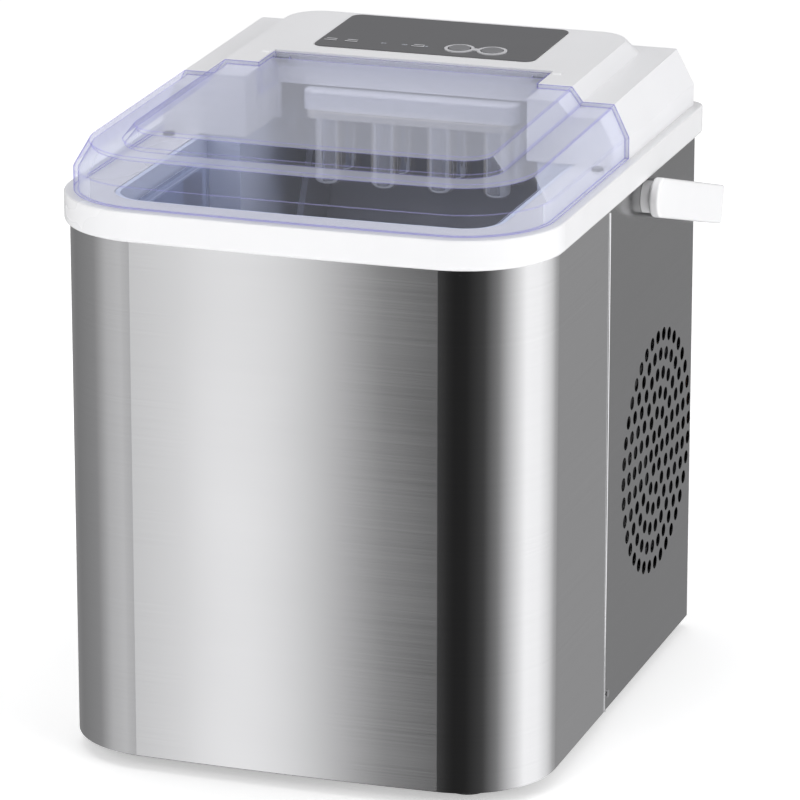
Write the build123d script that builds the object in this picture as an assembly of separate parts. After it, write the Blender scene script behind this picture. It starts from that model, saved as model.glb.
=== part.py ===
from build123d import *

import math
import os

# Countertop bullet-ice maker. Millimetres, +Z up, front towards -Y, +X to the right as seen from the
# front. Pieces are modelled about the middle of the steel case, then moved together so that the
# origin is the middle of the whole machine's footprint, on the surface that it stands on.

# ---- Case: driving sizes ----
case_width = 220.0
case_depth = 265.0
case_bottom = 6.0
case_top = 241.0
case_tuck = 6.0
front_corner = 42.0
rear_corner = 6.0
front_bow = 3.0
least_corner = 1.2
steel = 0.8
lap_gap = 0.1
lap_length = 11.5
front_wrap_lift = 1.0
seam_from_rear = 145.0
cut_reach = 10.0
spare = 1.0
merge_depth = 20.0

# ---- White top frame ----
frame_overhang = 2.45
frame_height = 13.5
frame_plate = 2.5
frame_skirt_gap = 0.2
frame_lower_round = 2.0
frame_upper_round = 0.8
opening_gap = 2.0
frame_screw_inset = 9.5
frame_screw_ahead = 6.0

# ---- Lid and rear cover: one stepped profile ----
cover_inset = 1.75
cover_wall_rise = 10.0
slope_run = 7.0
slope_rise = 11.5
ledge_width = 14.5
step_run = 5.0
step_rise = 6.5
step_embed = 1.0
top_tilt = 1.2
rear_step_inset = 0.5
rear_step_run = 4.0
rear_step_corner = 16.0
cover_wall = 2.2
lid_wall = 2.0
lid_gap = 0.6
lid_seat_gap = 0.4
lid_side_from_rear = 111.5
tongue_half = 66.0
barrel_radius = 3.3
barrel_gap = 0.5
hinge_from_rear = 92.0
barrel_sink = 0.1
hinge_pin_radius = 1.6
running_gap = 0.05
snug_gap = 0.02
hinge_pin_in_lid = 8.0
hinge_pin_in_cover = 3.5
tongue_skirt = 11.0
shoulder_reach = 16.5
recess_wall_bottom = 16.5
pin_end_gap = 0.5
hinge_boss_depth = 2.5
hinge_boss_wall = 2.2

# ---- Control panel ----
panel_width = 105.0
panel_depth = 60.0
panel_corner = 5.0
panel_thick = 0.8
panel_pocket = 0.4
panel_front_gap = 11.5
panel_offset = 0.0
panel_gap = 0.2
button_radius = 5.0
button_gap = 0.4
button_spacing = 15.5
button_right = 22.0
button_back = 12.0
button_rise = 0.9
button_travel = 0.8
button_flange = 1.6
button_flange_thick = 1.2
button_flange_gap = 0.2
button_round = 0.6
button_stem = 1.5
button_stem_gap = 0.4
button_hole_length = 20.0
bezel_width = 1.5
bezel_rise = 0.5
led_size = (2.4, 1.2)
led_spots = (-22.0, -12.0, -2.0)
led_rise = 0.15
board_size = (92.0, 46.0, 1.6)
board_below = 10.0
board_chip = (12.0, 9.0, 2.0)
board_chips = 3
chip_pitch = 26.0
chip_back = 12.0
pillar_radius = 2.5
pillar_inset = 4.0

# ---- Carry handle ----
handle_height = 9.0
handle_arm_gap = 3.5
handle_arm_thick = 4.5
handle_arm_width = 18.0
handle_bar_thick = 14.0
handle_swing_gap = 1.3
handle_stored_drop = 15.8
handle_edge_round = 1.2
handle_corner = 3.6
pivot_from_rear = 88.5
pivot_radius = 3.0
pivot_bore_depth = 3.4
hub_radius = 7.3
hub_gap = 0.3
pivot_head = 5.5
pivot_head_thick = 3.0
pivot_end_gap = 0.4
hub_chamfer = 0.5

# ---- Tub: ice compartment, water reservoir below it and freezing chamber behind ----
tub_wall = 2.2
tub_side_margin = 24.0
tub_front_margin = 20.0
tub_corner = 16.0
tub_floor = 62.0
tub_top_gap = 0.5
tub_flange = 5.0
tub_flange_thick = 2.2
tub_frame_gap = 0.3
chamber_half = 70.0
chamber_gap = 3.0
chamber_rear_gap = 0.5
chamber_from_rear = 20.0
rail_width = 6.0
rail_top = 149.5
rail_thick = 5.0
rail_front_gap = 24.0
rail_rear_gap = 12.0
foam_bottom = 50.0
foam_case_gap = 2.5
foam_tub_gap = 0.4
foam_top_gap = 1.5
foam_behind = 5.0
foam_chamber_gap = 3.0

# ---- Ice basket ----
basket_side_gap = 7.0
basket_end_gap = 6.0
basket_wall = 1.8
basket_corner = 12.0
basket_top = 247.0
basket_rear_top = 208.0
basket_seat_gap = 0.5
basket_lip = 4.0
basket_lip_thick = 2.2
basket_bar = (62.0, 9.0, 5.0)
basket_slot_width = 4.0
basket_slot_margin = 24.0
basket_slot_pitch = 16.0
basket_slot_inset = 20.0
basket_notch_depth = 2.0

# ---- Freezing parts ----
finger_radius = 6.5
finger_length = 32.0
finger_round = 3.0
finger_row_gap = 24.0
finger_pitch = 26.8
fingers_in_row = 4
plate_size = (98.0, 44.0)
plate_thick = 3.0
plate_corner = 6.0
plate_above_frame = 6.5
coil_radius = 3.5
coil_run = 88.0
coil_pitch = 11.0
coil_lift = 0.3
coil_rows = 3
bend_share = 0.45
cap_wall = 1.6
cap_rise = 9.0
cap_seat_gap = 0.2
cap_round = 1.2
cap_front_back = 2.0
cap_side_over = 2.0
cap_rear_over = 4.0
tray_floor_gap = 6.0
tray_inner = (114.0, 50.0)
tray_wall = 2.0
tray_end = 3.0
tray_top_gap = 5.0
tray_round = 7.0
tray_axis_back = 28.0
tray_axis_drop = 12.0
tray_boss = 6.0
tray_pin_radius = 3.0
tray_lowered = 62.0
pusher_thick = 3.0
pusher_half = 50.0
pusher_rise = 2.0
pusher_gap = 0.2
pusher_slot = (6.0, 18.0)
pusher_pitch = 20.0
pusher_slots = 5
bush_radius = 5.5
bush_flange = 8.0
bush_flange_thick = 2.5
tray_motor_size = (20.0, 30.0, 16.0)
tray_motor_gap = 0.4
tray_motor_round = 4.0
tray_motor_lug = (2.5, 6.0, 8.0)
tray_pin_in_motor = 8.0
motor_bore_spare = 2.0
sensor_size = (3.5, 14.0, 18.0)
sensor_height = 222.0
sensor_from_partition = 30.0
sensor_round = 1.0
level_sensor_size = (18.0, 6.4, 36.0)
level_sensor_x = 29.0
level_sensor_gap = 0.6
level_sensor_lift = 20.0
level_sensor_round = 1.5

# ---- Cooling parts ----
compressor_radius = 46.0
compressor_height = 116.0
compressor_bottom = 25.0
compressor_from_rear = 66.5
compressor_x = -52.0
compressor_top_round = 18.0
compressor_low_round = 10.0
weld_band = (1.5, 6.0)
mount_plate = (104.0, 74.0, 3.0)
mount_inset = 8.0
grommet_radius = 6.0
grommet_neck = 4.0
grommet_head = 5.5
grommet_head_thick = 2.0
relay_size = (40.0, 15.0, 44.0)
relay_sink = 8.0
relay_lift = 30.0
relay_round = 3.0
relay_gap = 0.2
fan_height = 105.0
fan_radius = 43.0
fan_hub = 12.0
fan_tip_gap = 3.0
fan_blades = 5
fan_depth = 14.0
blade_thick = 1.8
blade_chord = 24.0
blade_pitch = 32.0
fan_wall_gap = 8.0
fan_shaft_radius = 2.0
shroud_wall = 2.5
shroud_margin = 3.5
shroud_rear_gap = 10.5
shroud_front_gap = 10.0
shroud_fan_gap = 1.0
shroud_round = 6.0
duct_end_gap = 2.0
blade_root = 2.0
blade_inset = 0.5
hub_inset = 1.5
shaft_end_inset = 4.0
shaft_end_gap = 0.2
shaft_in_motor = 10.0
motor_radius = 16.0
motor_length = 22.0
motor_arm = 7.0
motor_round = 3.0
motor_fan_gap = 2.0
condenser_depth = 20.0
condenser_from_fan = 30.0
condenser_span = (84.0, 118.0)
condenser_fins_count = 13
fin_thick = 0.6
tube_radius = 3.0
tube_rows = 5
tube_bend_gap = 1.0
pipe_radius = 2.5
port_sink = 3.0
discharge_port = 24.0
discharge_drop = 10.0
discharge_run = 30.0
discharge_past_fins = 5.0
discharge_bend = 5.5
suction_port = (-12.0, 16.0)
suction_inset = 10.0
suction_gap = 0.8
suction_start = 8.0
suction_drop = 16.0
suction_rise = 11.0
suction_bend = 6.0
drier_radius = 9.0
drier_length = 60.0
drier_x = 14.0
drier_from_rear = 22.0
drier_bottom = 60.0
drier_round = 4.0
drier_neck = (3.0, 8.0)
valve_from_side = 19.5
valve_from_rear = 18.0
valve_height = 200.0
valve_coil = (26.0, 18.0, 24.0)
valve_round = 3.0
valve_body = (6.0, 30.0)
valve_body_drop = 8.0
valve_stem = (4.0, 10.0, 28.0)
pump_radius = 17.0
pump_height = 30.0
pump_round = 3.0
pump_outlet_length = 10.0
pump_outlet_drop = 10.0
pump_ahead = 54.0
hose_x = 16.0
hose_behind = 16.0
hose_radius = 4.0
hose_bore = 2.8
hose_bend = 10.0
hose_start = 1.0

# ---- Vents, feet, drain, cord gland and screws ----
vent_hole = 3.1
vent_pitch = 9.0
vent_rings_right = 6
vent_rings_left = 4
slot_rows = 9
slot_pitch = 9.0
slot_size = (70.0, 3.0)
foot_radius = 10.0
foot_side_margin = 35.0
foot_end_margin = 27.5
foot_chamfer = 1.0
foot_screw_depth = 1.0
base_floor = 3.0
base_wall = 2.2
base_rise = 16.0
base_gap = 0.3
drain_x = -40.0
drain_from_front = 40.0
drain_bore = 5.0
drain_wall = 2.0
drain_cap_radius = 11.0
drain_cap_thick = 3.2
drain_cap_gap = 0.5
drain_cap_chamfer = 0.6
drain_groove = (8.0, 1.2, 1.2)
drain_plug_gap = 0.5
drain_plug_rise = 12.0
drain_seal_rise = (4.0, 6.5)
drain_seal_gap = 0.1
drain_spout_gap = 0.2
gland_from_side = 38.0
gland_height = 34.0
gland_radius = 6.0
gland_bore = 3.6
gland_out = 9.0
gland_in = 8.0
gland_flange = (2.5, 2.0)
gland_lock = 1.5
gland_lock_gap = 0.2
gland_clear = 1.0
gland_grooves = 3
gland_groove_start = 3.2
gland_groove_pitch = 2.0
gland_groove_width = 0.9
gland_groove_depth = 0.8
screw_radius = 2.6
screw_head = 1.2
rear_screw_inset = 16.0
rear_screw_drop = 8.0
seam_screw_radius = 1.8
seam_screw_behind = 4.0

# ---- Values that follow from the driving sizes ----
half_width = case_width / 2
y_front = -case_depth / 2
y_rear = case_depth / 2
frame_top = case_top + frame_height
case_floor = case_bottom + base_floor
rear_wrap_face = steel + lap_gap
inner_face = rear_wrap_face + steel
y_seam = y_rear - seam_from_rear
y_hinge = y_rear - hinge_from_rear
y_notch = y_hinge + barrel_radius + barrel_gap
y_lid_side = y_rear - lid_side_from_rear
y_shoulder = y_lid_side - shoulder_reach
y_pivot = y_rear - pivot_from_rear
z_pivot = case_top - handle_height
shroud_half = fan_radius + fan_tip_gap + shroud_wall + shroud_margin
y_fan = y_rear - shroud_rear_gap - shroud_half
y_partition = y_fan - shroud_half - shroud_front_gap
tub_half = half_width - tub_side_margin
y_tub_front = y_front + tub_front_margin
tub_top = frame_top - tub_top_gap
foam_top = frame_top - frame_plate - tub_frame_gap - tub_flange_thick - foam_top_gap
plate_top = frame_top + plate_above_frame
plate_bottom = plate_top - plate_thick
finger_bottom = plate_bottom - finger_length
tray_front = tray_axis_back + tray_inner[1] / 2 + tray_wall + pusher_gap + pusher_thick
tray_depth = finger_length + tray_floor_gap + tray_wall - tray_axis_drop
y_chamber_rear = y_rear - chamber_from_rear
y_tray_axis = y_chamber_rear - chamber_rear_gap - tray_depth
z_tray_axis = plate_bottom - tray_axis_drop
tray_axis = (y_tray_axis, z_tray_axis)
y_freeze = y_tray_axis - tray_axis_back
chamber_floor = z_tray_axis - math.hypot(tray_front, tray_depth) - chamber_gap
x_tray_motor = chamber_half + tub_wall + tray_motor_gap
z_coil = plate_top + coil_lift + coil_radius
y_suction = y_chamber_rear + tub_wall + tub_flange + pipe_radius + suction_gap
y_frame_opening = y_suction + pipe_radius + opening_gap
compressor_top = compressor_bottom + compressor_height
y_compressor = y_rear - compressor_from_rear
x_fan_outer = half_width - inner_face - fan_wall_gap
x_fan_inner = x_fan_outer - fan_depth
x_motor_outer = x_fan_inner - motor_fan_gap
x_motor_inner = x_motor_outer - motor_length
x_condenser = x_fan_inner - condenser_from_fan
y_panel = y_notch + panel_front_gap + panel_depth / 2
y_buttons = y_panel - panel_depth / 2 + button_back
y_drain = y_front + drain_from_front
y_hose = y_partition + hose_behind
y_pump = y_hose - pump_ahead
gland_x = -half_width + gland_from_side
tall = 400.0
wide = 600.0


# ---- Small building blocks ----
def brick(x, y, z):
    """Box between the low and high limits of each axis."""
    middle = Pos((x[0] + x[1]) / 2, (y[0] + y[1]) / 2, (z[0] + z[1]) / 2)
    return middle * Box(x[1] - x[0], y[1] - y[0], z[1] - z[0])


def rod_x(radius, x, y, z):
    """Round bar along X between two x limits."""
    return Pos((x[0] + x[1]) / 2, y, z) * Rot(0, 90, 0) * Cylinder(radius, x[1] - x[0])


def rod_y(radius, x, y, z):
    """Round bar along Y between two y limits."""
    return Pos(x, (y[0] + y[1]) / 2, z) * Rot(90, 0, 0) * Cylinder(radius, y[1] - y[0])


def rod_z(radius, x, y, z):
    """Round bar along Z between two z limits."""
    return Pos(x, y, (z[0] + z[1]) / 2) * Cylinder(radius, z[1] - z[0])


def mirrored(shape):
    """The same shape on the other side of the machine."""
    return mirror(shape, about=Plane.YZ)


def group(shapes):
    """Several separate solids kept together in one node."""
    return Compound(children=[solid for shape in shapes for solid in shape.solids()])


def pair(shape):
    """A solid and its mirror image as two separate solids."""
    return group([shape, mirrored(shape)])


def plan(side, front, rear, front_radius, rear_radius):
    """Flat outline of the case, set in by the given amounts, with a bowed front edge."""
    half = half_width - side
    y_low = y_front + front
    y_high = y_rear - rear
    shoulder = y_low + front_bow * (half / half_width) ** 2
    sides = Polyline((half, shoulder), (half, y_high), (-half, y_high), (-half, shoulder))
    nose = ThreePointArc((-half, shoulder), (0, y_low), (half, shoulder))
    face = make_face(sides + nose)
    by_depth = face.vertices().sort_by(Axis.Y)
    face = fillet(by_depth[:2], front_radius)
    by_depth = face.vertices().sort_by(Axis.Y)
    return fillet(by_depth[-2:], rear_radius)


def case_plan(inset):
    """Case outline set in evenly."""
    rear_radius = max(rear_corner - inset, least_corner)
    return plan(inset, inset, inset, front_corner - inset, rear_radius)


def prism(face, low, high):
    """Upright solid of an outline between two heights."""
    return extrude(Pos(0, 0, low) * face, amount=high - low)


def tilted(height):
    """Sloping plane of the top, given its height at the reference line near the front."""
    rise = height - math.tan(math.radians(top_tilt)) * (y_front + slope_run)
    return Plane(origin=(0, 0, rise), x_dir=(1, 0, 0), z_dir=top_normal)


def top_height(y):
    """Height of the upper flat of the top at a given depth."""
    return ledge_level + step_rise + math.tan(math.radians(top_tilt)) * (y - y_front - slope_run)


top_normal = (0, -math.sin(math.radians(top_tilt)), math.cos(math.radians(top_tilt)))
ledge_level = frame_top + cover_wall_rise + slope_rise
z_hinge = top_height(y_hinge) - barrel_radius - barrel_sink
panel_plane = Plane(
    origin=(panel_offset, y_panel, top_height(y_panel)), x_dir=(1, 0, 0), z_dir=top_normal
)
button_plane = Plane(
    origin=(button_right, y_buttons, top_height(y_buttons)), x_dir=(1, 0, 0), z_dir=top_normal
)


def swing_corners():
    """Corners of the machine's top rear edge that the crossbar has to swing past."""
    slope_rear = y_rear - cover_inset - slope_run
    top_rear = slope_rear - rear_step_inset - rear_step_run
    return [
        (y_rear + frame_overhang, frame_top),
        (y_rear - cover_inset, frame_top + cover_wall_rise),
        (slope_rear, top_height(slope_rear) - step_rise),
        (top_rear, top_height(top_rear)),
    ]


def cover_block(shrink, bottom):
    """Solid under the stepped profile that the lid and the rear cover share, set in evenly."""
    slope = math.hypot(slope_run, slope_rise)
    step = math.hypot(step_run, step_rise)
    wall_top = frame_top + cover_wall_rise - shrink * (slope - slope_rise) / slope_run
    wall_inset = cover_inset + shrink
    ledge_inset = cover_inset + slope_run + shrink * (slope - slope_run) / slope_rise
    low = case_plan(wall_inset)
    lower = loft(
        [Pos(0, 0, bottom) * low, Pos(0, 0, wall_top) * low]
        + [tilted(ledge_level - shrink).location * case_plan(ledge_inset)],
        ruled=True,
    )
    foot = cover_inset + slope_run + ledge_width + shrink * (step - step_run) / step_rise
    rear = ledge_inset + rear_step_inset
    wide_face = plan(foot, foot, rear, front_corner - foot, rear_step_corner)
    head = foot + step_run
    narrow_face = plan(head, head, rear + rear_step_run, front_corner - head, rear_step_corner)
    upper = loft(
        [tilted(ledge_level - shrink - step_embed).location * wide_face]
        + [tilted(ledge_level - shrink).location * wide_face]
        + [tilted(ledge_level + step_rise - shrink).location * narrow_face],
        ruled=True,
    )
    return lower + upper


def top_zone(y_sides, y_middle, half):
    """Everything behind a stepped line: y_sides outside +-half, y_middle inside it."""
    sides = brick((-wide, wide), (y_sides, wide), (0, tall))
    notch = brick((-half, half), (y_sides - 1, y_middle), (-1, tall + 1))
    return sides - notch


# ---- Casing ----
def base_tray():
    """Moulded floor with an upstand that the steel wraps are fixed to."""
    outer = prism(case_plan(inner_face + base_gap), case_bottom, case_bottom + base_rise)
    inner = prism(case_plan(inner_face + base_gap + base_wall), case_floor, tall)
    tray = outer - inner
    tray -= rod_z(drain_bore + drain_wall + snug_gap, drain_x, y_drain, (0, tall))
    gland_reach = (y_rear - merge_depth, y_rear)
    tray -= rod_y(gland_radius + gland_clear, gland_x, gland_reach, gland_height)
    for x, y in foot_spots():
        tray -= rod_z(screw_radius, x, y, (case_floor - foot_screw_depth, case_floor + spare))
    return tray


def foot_spots():
    """Centres of the four feet."""
    x = half_width - foot_side_margin
    ends = (y_front + foot_end_margin, y_rear - foot_end_margin)
    return [(side * x, y) for side in (-1, 1) for y in ends]


def rubber_feet():
    """Four round feet with a softened lower edge."""
    feet = []
    for x, y in foot_spots():
        foot = rod_z(foot_radius, x, y, (0, case_bottom))
        feet.append(chamfer(foot.edges().group_by(Axis.Z)[0], foot_chamfer))
    return group(feet)


def front_wrap():
    """Steel sheet round the front and half of each side."""
    low = case_bottom + front_wrap_lift
    high = case_top + case_tuck
    sheet = prism(case_plan(0), low, high) - prism(case_plan(steel), 0, tall)
    return sheet & brick((-wide, wide), (-wide, y_seam), (0, tall))


def vent_spots(rings):
    """Centres of the vent holes: one in the middle and rings of six times their number."""
    spots = [(0.0, 0.0)]
    for ring in range(1, rings + 1):
        holes = 6 * ring
        for index in range(holes):
            turn = 2 * math.pi * index / holes
            spots.append((vent_pitch * ring * math.cos(turn), vent_pitch * ring * math.sin(turn)))
    return spots


def vent_cutters(rings, x):
    """Bars that punch one round vent through a side wall."""
    return [
        rod_x(vent_hole, x, y_fan + across, fan_height + up) for across, up in vent_spots(rings)
    ]


def rear_wrap():
    """Steel sheet round the back and the rear half of each side, with its vents."""
    outer = prism(case_plan(rear_wrap_face), case_bottom, case_top + case_tuck)
    sheet = outer - prism(case_plan(inner_face), 0, tall)
    sheet &= brick((-wide, wide), (y_seam - lap_length, wide), (0, tall))
    low = half_width - cut_reach
    high = half_width + cut_reach
    sheet -= vent_cutters(vent_rings_right, (low, high))
    sheet -= vent_cutters(vent_rings_left, (-high, -low))
    for row in range(slot_rows):
        z = fan_height + (row - (slot_rows - 1) / 2) * slot_pitch
        slot = SlotOverall(slot_size[0], slot_size[1])
        start = Plane.XZ.offset(-y_rear - cut_reach)
        sheet -= extrude(start * Pos(0, z) * slot, amount=2 * cut_reach)
    gland_reach = (y_rear - cut_reach, y_rear + cut_reach)
    sheet -= rod_y(gland_radius + snug_gap, gland_x, gland_reach, gland_height)
    for side in (-1, 1):
        reach = sorted((side * low, side * high))
        sheet -= rod_x(pivot_radius + running_gap, reach, y_pivot, z_pivot)
    return sheet


def case_screws():
    """Round-headed screws of the rear panel and at the foot of each side seam."""
    low = case_bottom + base_rise / 2
    face = y_rear - rear_wrap_face
    screws = []
    for x in (-half_width + rear_screw_inset, 0, half_width - rear_screw_inset):
        for z in (low, case_top - rear_screw_drop):
            screws.append(rod_y(screw_radius, x, (face, face + screw_head), z))
    side = half_width - rear_wrap_face
    for x in ((side, side + screw_head), (-side - screw_head, -side)):
        screws.append(rod_x(seam_screw_radius, x, y_seam + seam_screw_behind, low))
    return group(screws)


def top_frame():
    """White band over the steel's upper edge, with the ledge that the lid rests on."""
    frame = prism(case_plan(-frame_overhang), case_top, frame_top)
    frame = fillet(frame.edges().group_by(Axis.Z)[0], frame_lower_round)
    frame = fillet(frame.edges().group_by(Axis.Z)[-1], frame_upper_round)
    frame -= prism(case_plan(-frame_skirt_gap), 0, frame_top - frame_plate)
    frame -= prism(tub_plan(tub_frame_gap), 0, tall)
    frame -= brick(
        (-chamber_half, chamber_half), (y_partition, y_frame_opening), (0, tall)
    )
    return frame


def frame_screws():
    """Two dark screws on the ledge, ahead of the rear cover's shoulders."""
    x = half_width - frame_screw_inset
    z = (frame_top, frame_top + screw_head)
    return pair(rod_z(screw_radius, x, y_shoulder - frame_screw_ahead, z))


# ---- Tub ----
def tub_plan(grow):
    """Outline of the tub's outside, grown evenly."""
    side = tub_side_margin - tub_wall - grow
    front = tub_front_margin - tub_wall - grow
    rear = y_rear - y_chamber_rear - tub_wall - grow
    return plan(side, front, rear, tub_corner + tub_wall + grow, least_corner + tub_wall + grow)


def tub_body(grow):
    """Outside of the tub: deep in front, shallow and narrower behind the partition."""
    half = tub_half + tub_wall + grow
    y_step = y_partition + tub_wall + grow
    deep = prism(tub_plan(grow), tub_floor - tub_wall - grow, tub_top)
    deep &= brick((-half, half), (-wide, y_step), (0, tall))
    rear_half = chamber_half + tub_wall + grow
    y_back = y_chamber_rear + tub_wall + grow
    low = chamber_floor - tub_wall - grow
    reach = (y_step - merge_depth, y_back)
    shallow = brick((-rear_half, rear_half), reach, (low, tub_top))
    return deep + shallow


def tub_cavity():
    """Inside of the tub."""
    outline = plan(tub_side_margin, tub_front_margin, 0, tub_corner, least_corner)
    deep = prism(outline, tub_floor, tall)
    deep &= brick((-wide, wide), (-wide, y_partition), (0, tall))
    back = (y_partition - merge_depth, y_chamber_rear)
    return deep + brick((-chamber_half, chamber_half), back, (chamber_floor, tall))


def inner_tub():
    """Ice compartment, water reservoir and freezing chamber in one moulding."""
    tub = tub_body(0)
    flange_top = frame_top - frame_plate - tub_frame_gap
    flange = tub_body(tub_flange) & brick(
        (-wide, wide), (-wide, wide), (flange_top - tub_flange_thick, flange_top)
    )
    tub = (tub + flange) - tub_cavity()
    rail = brick(
        (tub_half - rail_width, tub_half + tub_wall / 2),
        (y_tub_front + rail_front_gap, y_partition - rail_rear_gap),
        (rail_top - rail_thick, rail_top),
    )
    tub += [rail, mirrored(rail)]
    wall_reach = (chamber_half - cut_reach, chamber_half + cut_reach)
    hole = rod_x(bush_radius + snug_gap, wall_reach, *tray_axis)
    tub -= [hole, mirrored(hole)]
    tub -= rod_z(drain_bore, drain_x, y_drain, (0, tub_floor + spare))
    floor_reach = (chamber_floor - cut_reach, chamber_floor + spare)
    tub -= rod_z(hose_radius + snug_gap, hose_x, y_hose, floor_reach)
    return tub


def insulation_foam():
    """Foam jacket round the ice compartment."""
    outer = prism(case_plan(inner_face + foam_case_gap), foam_bottom, foam_top)
    outer &= brick((-wide, wide), (-wide, y_partition + foam_behind), (0, tall))
    foam = outer - tub_body(foam_tub_gap)
    half = chamber_half + foam_chamber_gap
    foam -= brick((-half, half), (y_partition, wide), (chamber_floor - foam_chamber_gap, tall))
    drain_hole = drain_bore + drain_wall + snug_gap
    return foam - rod_z(drain_hole, drain_x, y_drain, (0, tub_floor))


# ---- Rear cover and controls ----
def rear_top_cover():
    """Rear half of the top: shoulders under the lid's rear edge, recess between them."""
    under = lid_wall + lid_gap
    y_side = y_lid_side + lid_gap
    half = tongue_half
    outer = cover_block(0, frame_top) & top_zone(y_side, y_notch, half)
    outer += cover_block(under, frame_top) & shoulder_zone(0)
    inner = cover_block(cover_wall, 0) & top_zone(
        y_side + cover_wall, y_notch + cover_wall, half + cover_wall
    )
    inner += cover_block(under + cover_wall, 0) & shoulder_zone(cover_wall)
    cover = outer - inner
    cover -= brick(
        (-half + cover_wall, half - cover_wall),
        (y_notch - spare, y_notch + cover_wall + spare),
        (0, frame_top + recess_wall_bottom),
    )
    pocket = Box(panel_width + 2 * panel_gap, panel_depth + 2 * panel_gap, 2 * panel_pocket)
    cover -= panel_plane.location * fillet(pocket.edges().filter_by(Axis.Z), panel_corner)
    for button in (-1, 1):
        hole = Cylinder(button_radius + button_gap, button_hole_length)
        cover -= button_plane.location * Pos(button * button_spacing / 2, 0, 0) * hole
    bore = rod_x(
        hinge_pin_radius + running_gap,
        (half - lid_gap, half + hinge_pin_in_cover + pin_end_gap),
        y_hinge,
        z_hinge,
    )
    cover += pair(hinge_boss()).solids()
    return cover - [bore, mirrored(bore)]


def hinge_boss():
    """Thickened seat for a hinge pin on the inner side of a shoulder."""
    x = (tongue_half + cover_wall / 2, tongue_half + cover_wall + hinge_boss_depth)
    return rod_x(hinge_pin_radius + hinge_boss_wall, x, y_hinge, z_hinge)


def shoulder_zone(wall):
    """Zone of the two shoulders that run forward under the lid."""
    x = (tongue_half + wall, wide)
    shoulder = brick(x, (y_shoulder + wall, y_notch + cover_wall * 2), (0, tall))
    return shoulder + mirrored(shoulder)


def control_overlay():
    """Dark panel with holes for the buttons and lamp windows."""
    sheet = Box(panel_width, panel_depth, panel_thick)
    sheet = fillet(sheet.edges().filter_by(Axis.Z), panel_corner)
    panel = panel_plane.location * Pos(0, 0, panel_thick / 2 - panel_pocket) * sheet
    for button in (-1, 1):
        hole = Cylinder(button_radius + button_gap, button_hole_length)
        panel -= button_plane.location * Pos(button * button_spacing / 2, 0, 0) * hole
    for window in led_windows(snug_gap):
        panel -= window
    return panel


def led_windows(grow):
    """Small lamp windows left of the buttons."""
    lens = Box(led_size[0] + 2 * grow, led_size[1] + 2 * grow, panel_thick + led_rise)
    lift = (panel_thick + led_rise) / 2 - panel_pocket
    along = [spot - button_right for spot in led_spots]
    return [button_plane.location * Pos(x, 0, lift) * lens for x in along]


def button_bezel():
    """Raised rim that runs round both buttons."""
    high = panel_thick - panel_pocket + bezel_rise
    low = panel_thick - panel_pocket
    outer_radius = button_radius + button_gap + bezel_width
    discs = [
        Pos(side * button_spacing / 2, 0, (low + high) / 2) * Cylinder(outer_radius, high - low)
        for side in (-1, 1)
    ]
    link = Pos(0, 0, (low + high) / 2) * Box(button_spacing, bezel_width * 2, high - low)
    bezel = discs[0] + discs[1] + link
    for side in (-1, 1):
        hole = Cylinder(button_radius + button_gap, button_hole_length)
        bezel -= Pos(side * button_spacing / 2, 0, 0) * hole
    return button_plane.location * bezel


def push_button(side):
    """Round button with a flange that keeps it under the cover."""
    top = panel_thick - panel_pocket + button_rise
    flange_top = -cover_wall - button_flange_gap
    stem = Pos(0, 0, (top + flange_top) / 2) * Cylinder(button_radius, top - flange_top)
    stem = fillet(stem.edges().group_by(Axis.Z)[-1], button_round)
    flange = Cylinder(button_radius + button_flange, button_flange_thick)
    shape = stem + Pos(0, 0, flange_top - button_flange_thick / 2) * flange
    board_face = -board_below + board_size[2] / 2
    tip = board_face + button_travel + button_stem_gap
    low = flange_top - button_flange_thick
    shape += Pos(0, 0, (low + tip) / 2) * Cylinder(button_stem, low - tip)
    return button_plane.location * Pos(side * button_spacing / 2, 0, 0) * shape


def indicator_leds():
    """Lamp windows as separate solids."""
    return group(led_windows(0))


def control_board():
    """Circuit board under the panel, with its larger chips and pillars."""
    across, deep, thick = board_size
    board = Box(across, deep, thick)
    for index in range(board_chips):
        x = chip_pitch * (index - (board_chips - 1) / 2)
        board += Pos(x, chip_back, -thick / 2 - board_chip[2] / 2) * Box(*board_chip)
    height = board_below - cover_wall - thick / 2
    pillar = Cylinder(pillar_radius, height)
    for x in (-across / 2 + pillar_inset, across / 2 - pillar_inset):
        for y in (-deep / 2 + pillar_inset, deep / 2 - pillar_inset):
            board += Pos(x, y, thick / 2 + height / 2) * pillar
    return panel_plane.location * Pos(0, 0, -board_below) * board


# ---- Lid ----
def clear_lid():
    """Clear stepped lid: full width in front, a narrower tongue back to the hinge barrel."""
    low = frame_top + lid_seat_gap
    shell = cover_block(0, low) - cover_block(lid_wall, 0)
    half = tongue_half - lid_gap
    lid = shell - top_zone(y_lid_side, y_hinge, half)
    for side in (-1, 1):
        x = sorted((side * (half - lid_wall), side * half))
        lid += brick(x, (y_lid_side - lid_wall, y_hinge), (z_hinge - tongue_skirt, z_hinge))
    lid += rod_x(barrel_radius, (-half, half), y_hinge, z_hinge)
    x = (half - hinge_pin_in_lid, half + spare)
    bore = rod_x(hinge_pin_radius + snug_gap, x, y_hinge, z_hinge)
    return lid - [bore, mirrored(bore)]


def lid_hinge_pins():
    """Two steel pins that stand out of the lid's barrel into the rear cover."""
    half = tongue_half - lid_gap
    x = (half - hinge_pin_in_lid, tongue_half + hinge_pin_in_cover)
    return pair(rod_x(hinge_pin_radius, x, y_hinge, z_hinge))


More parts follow.
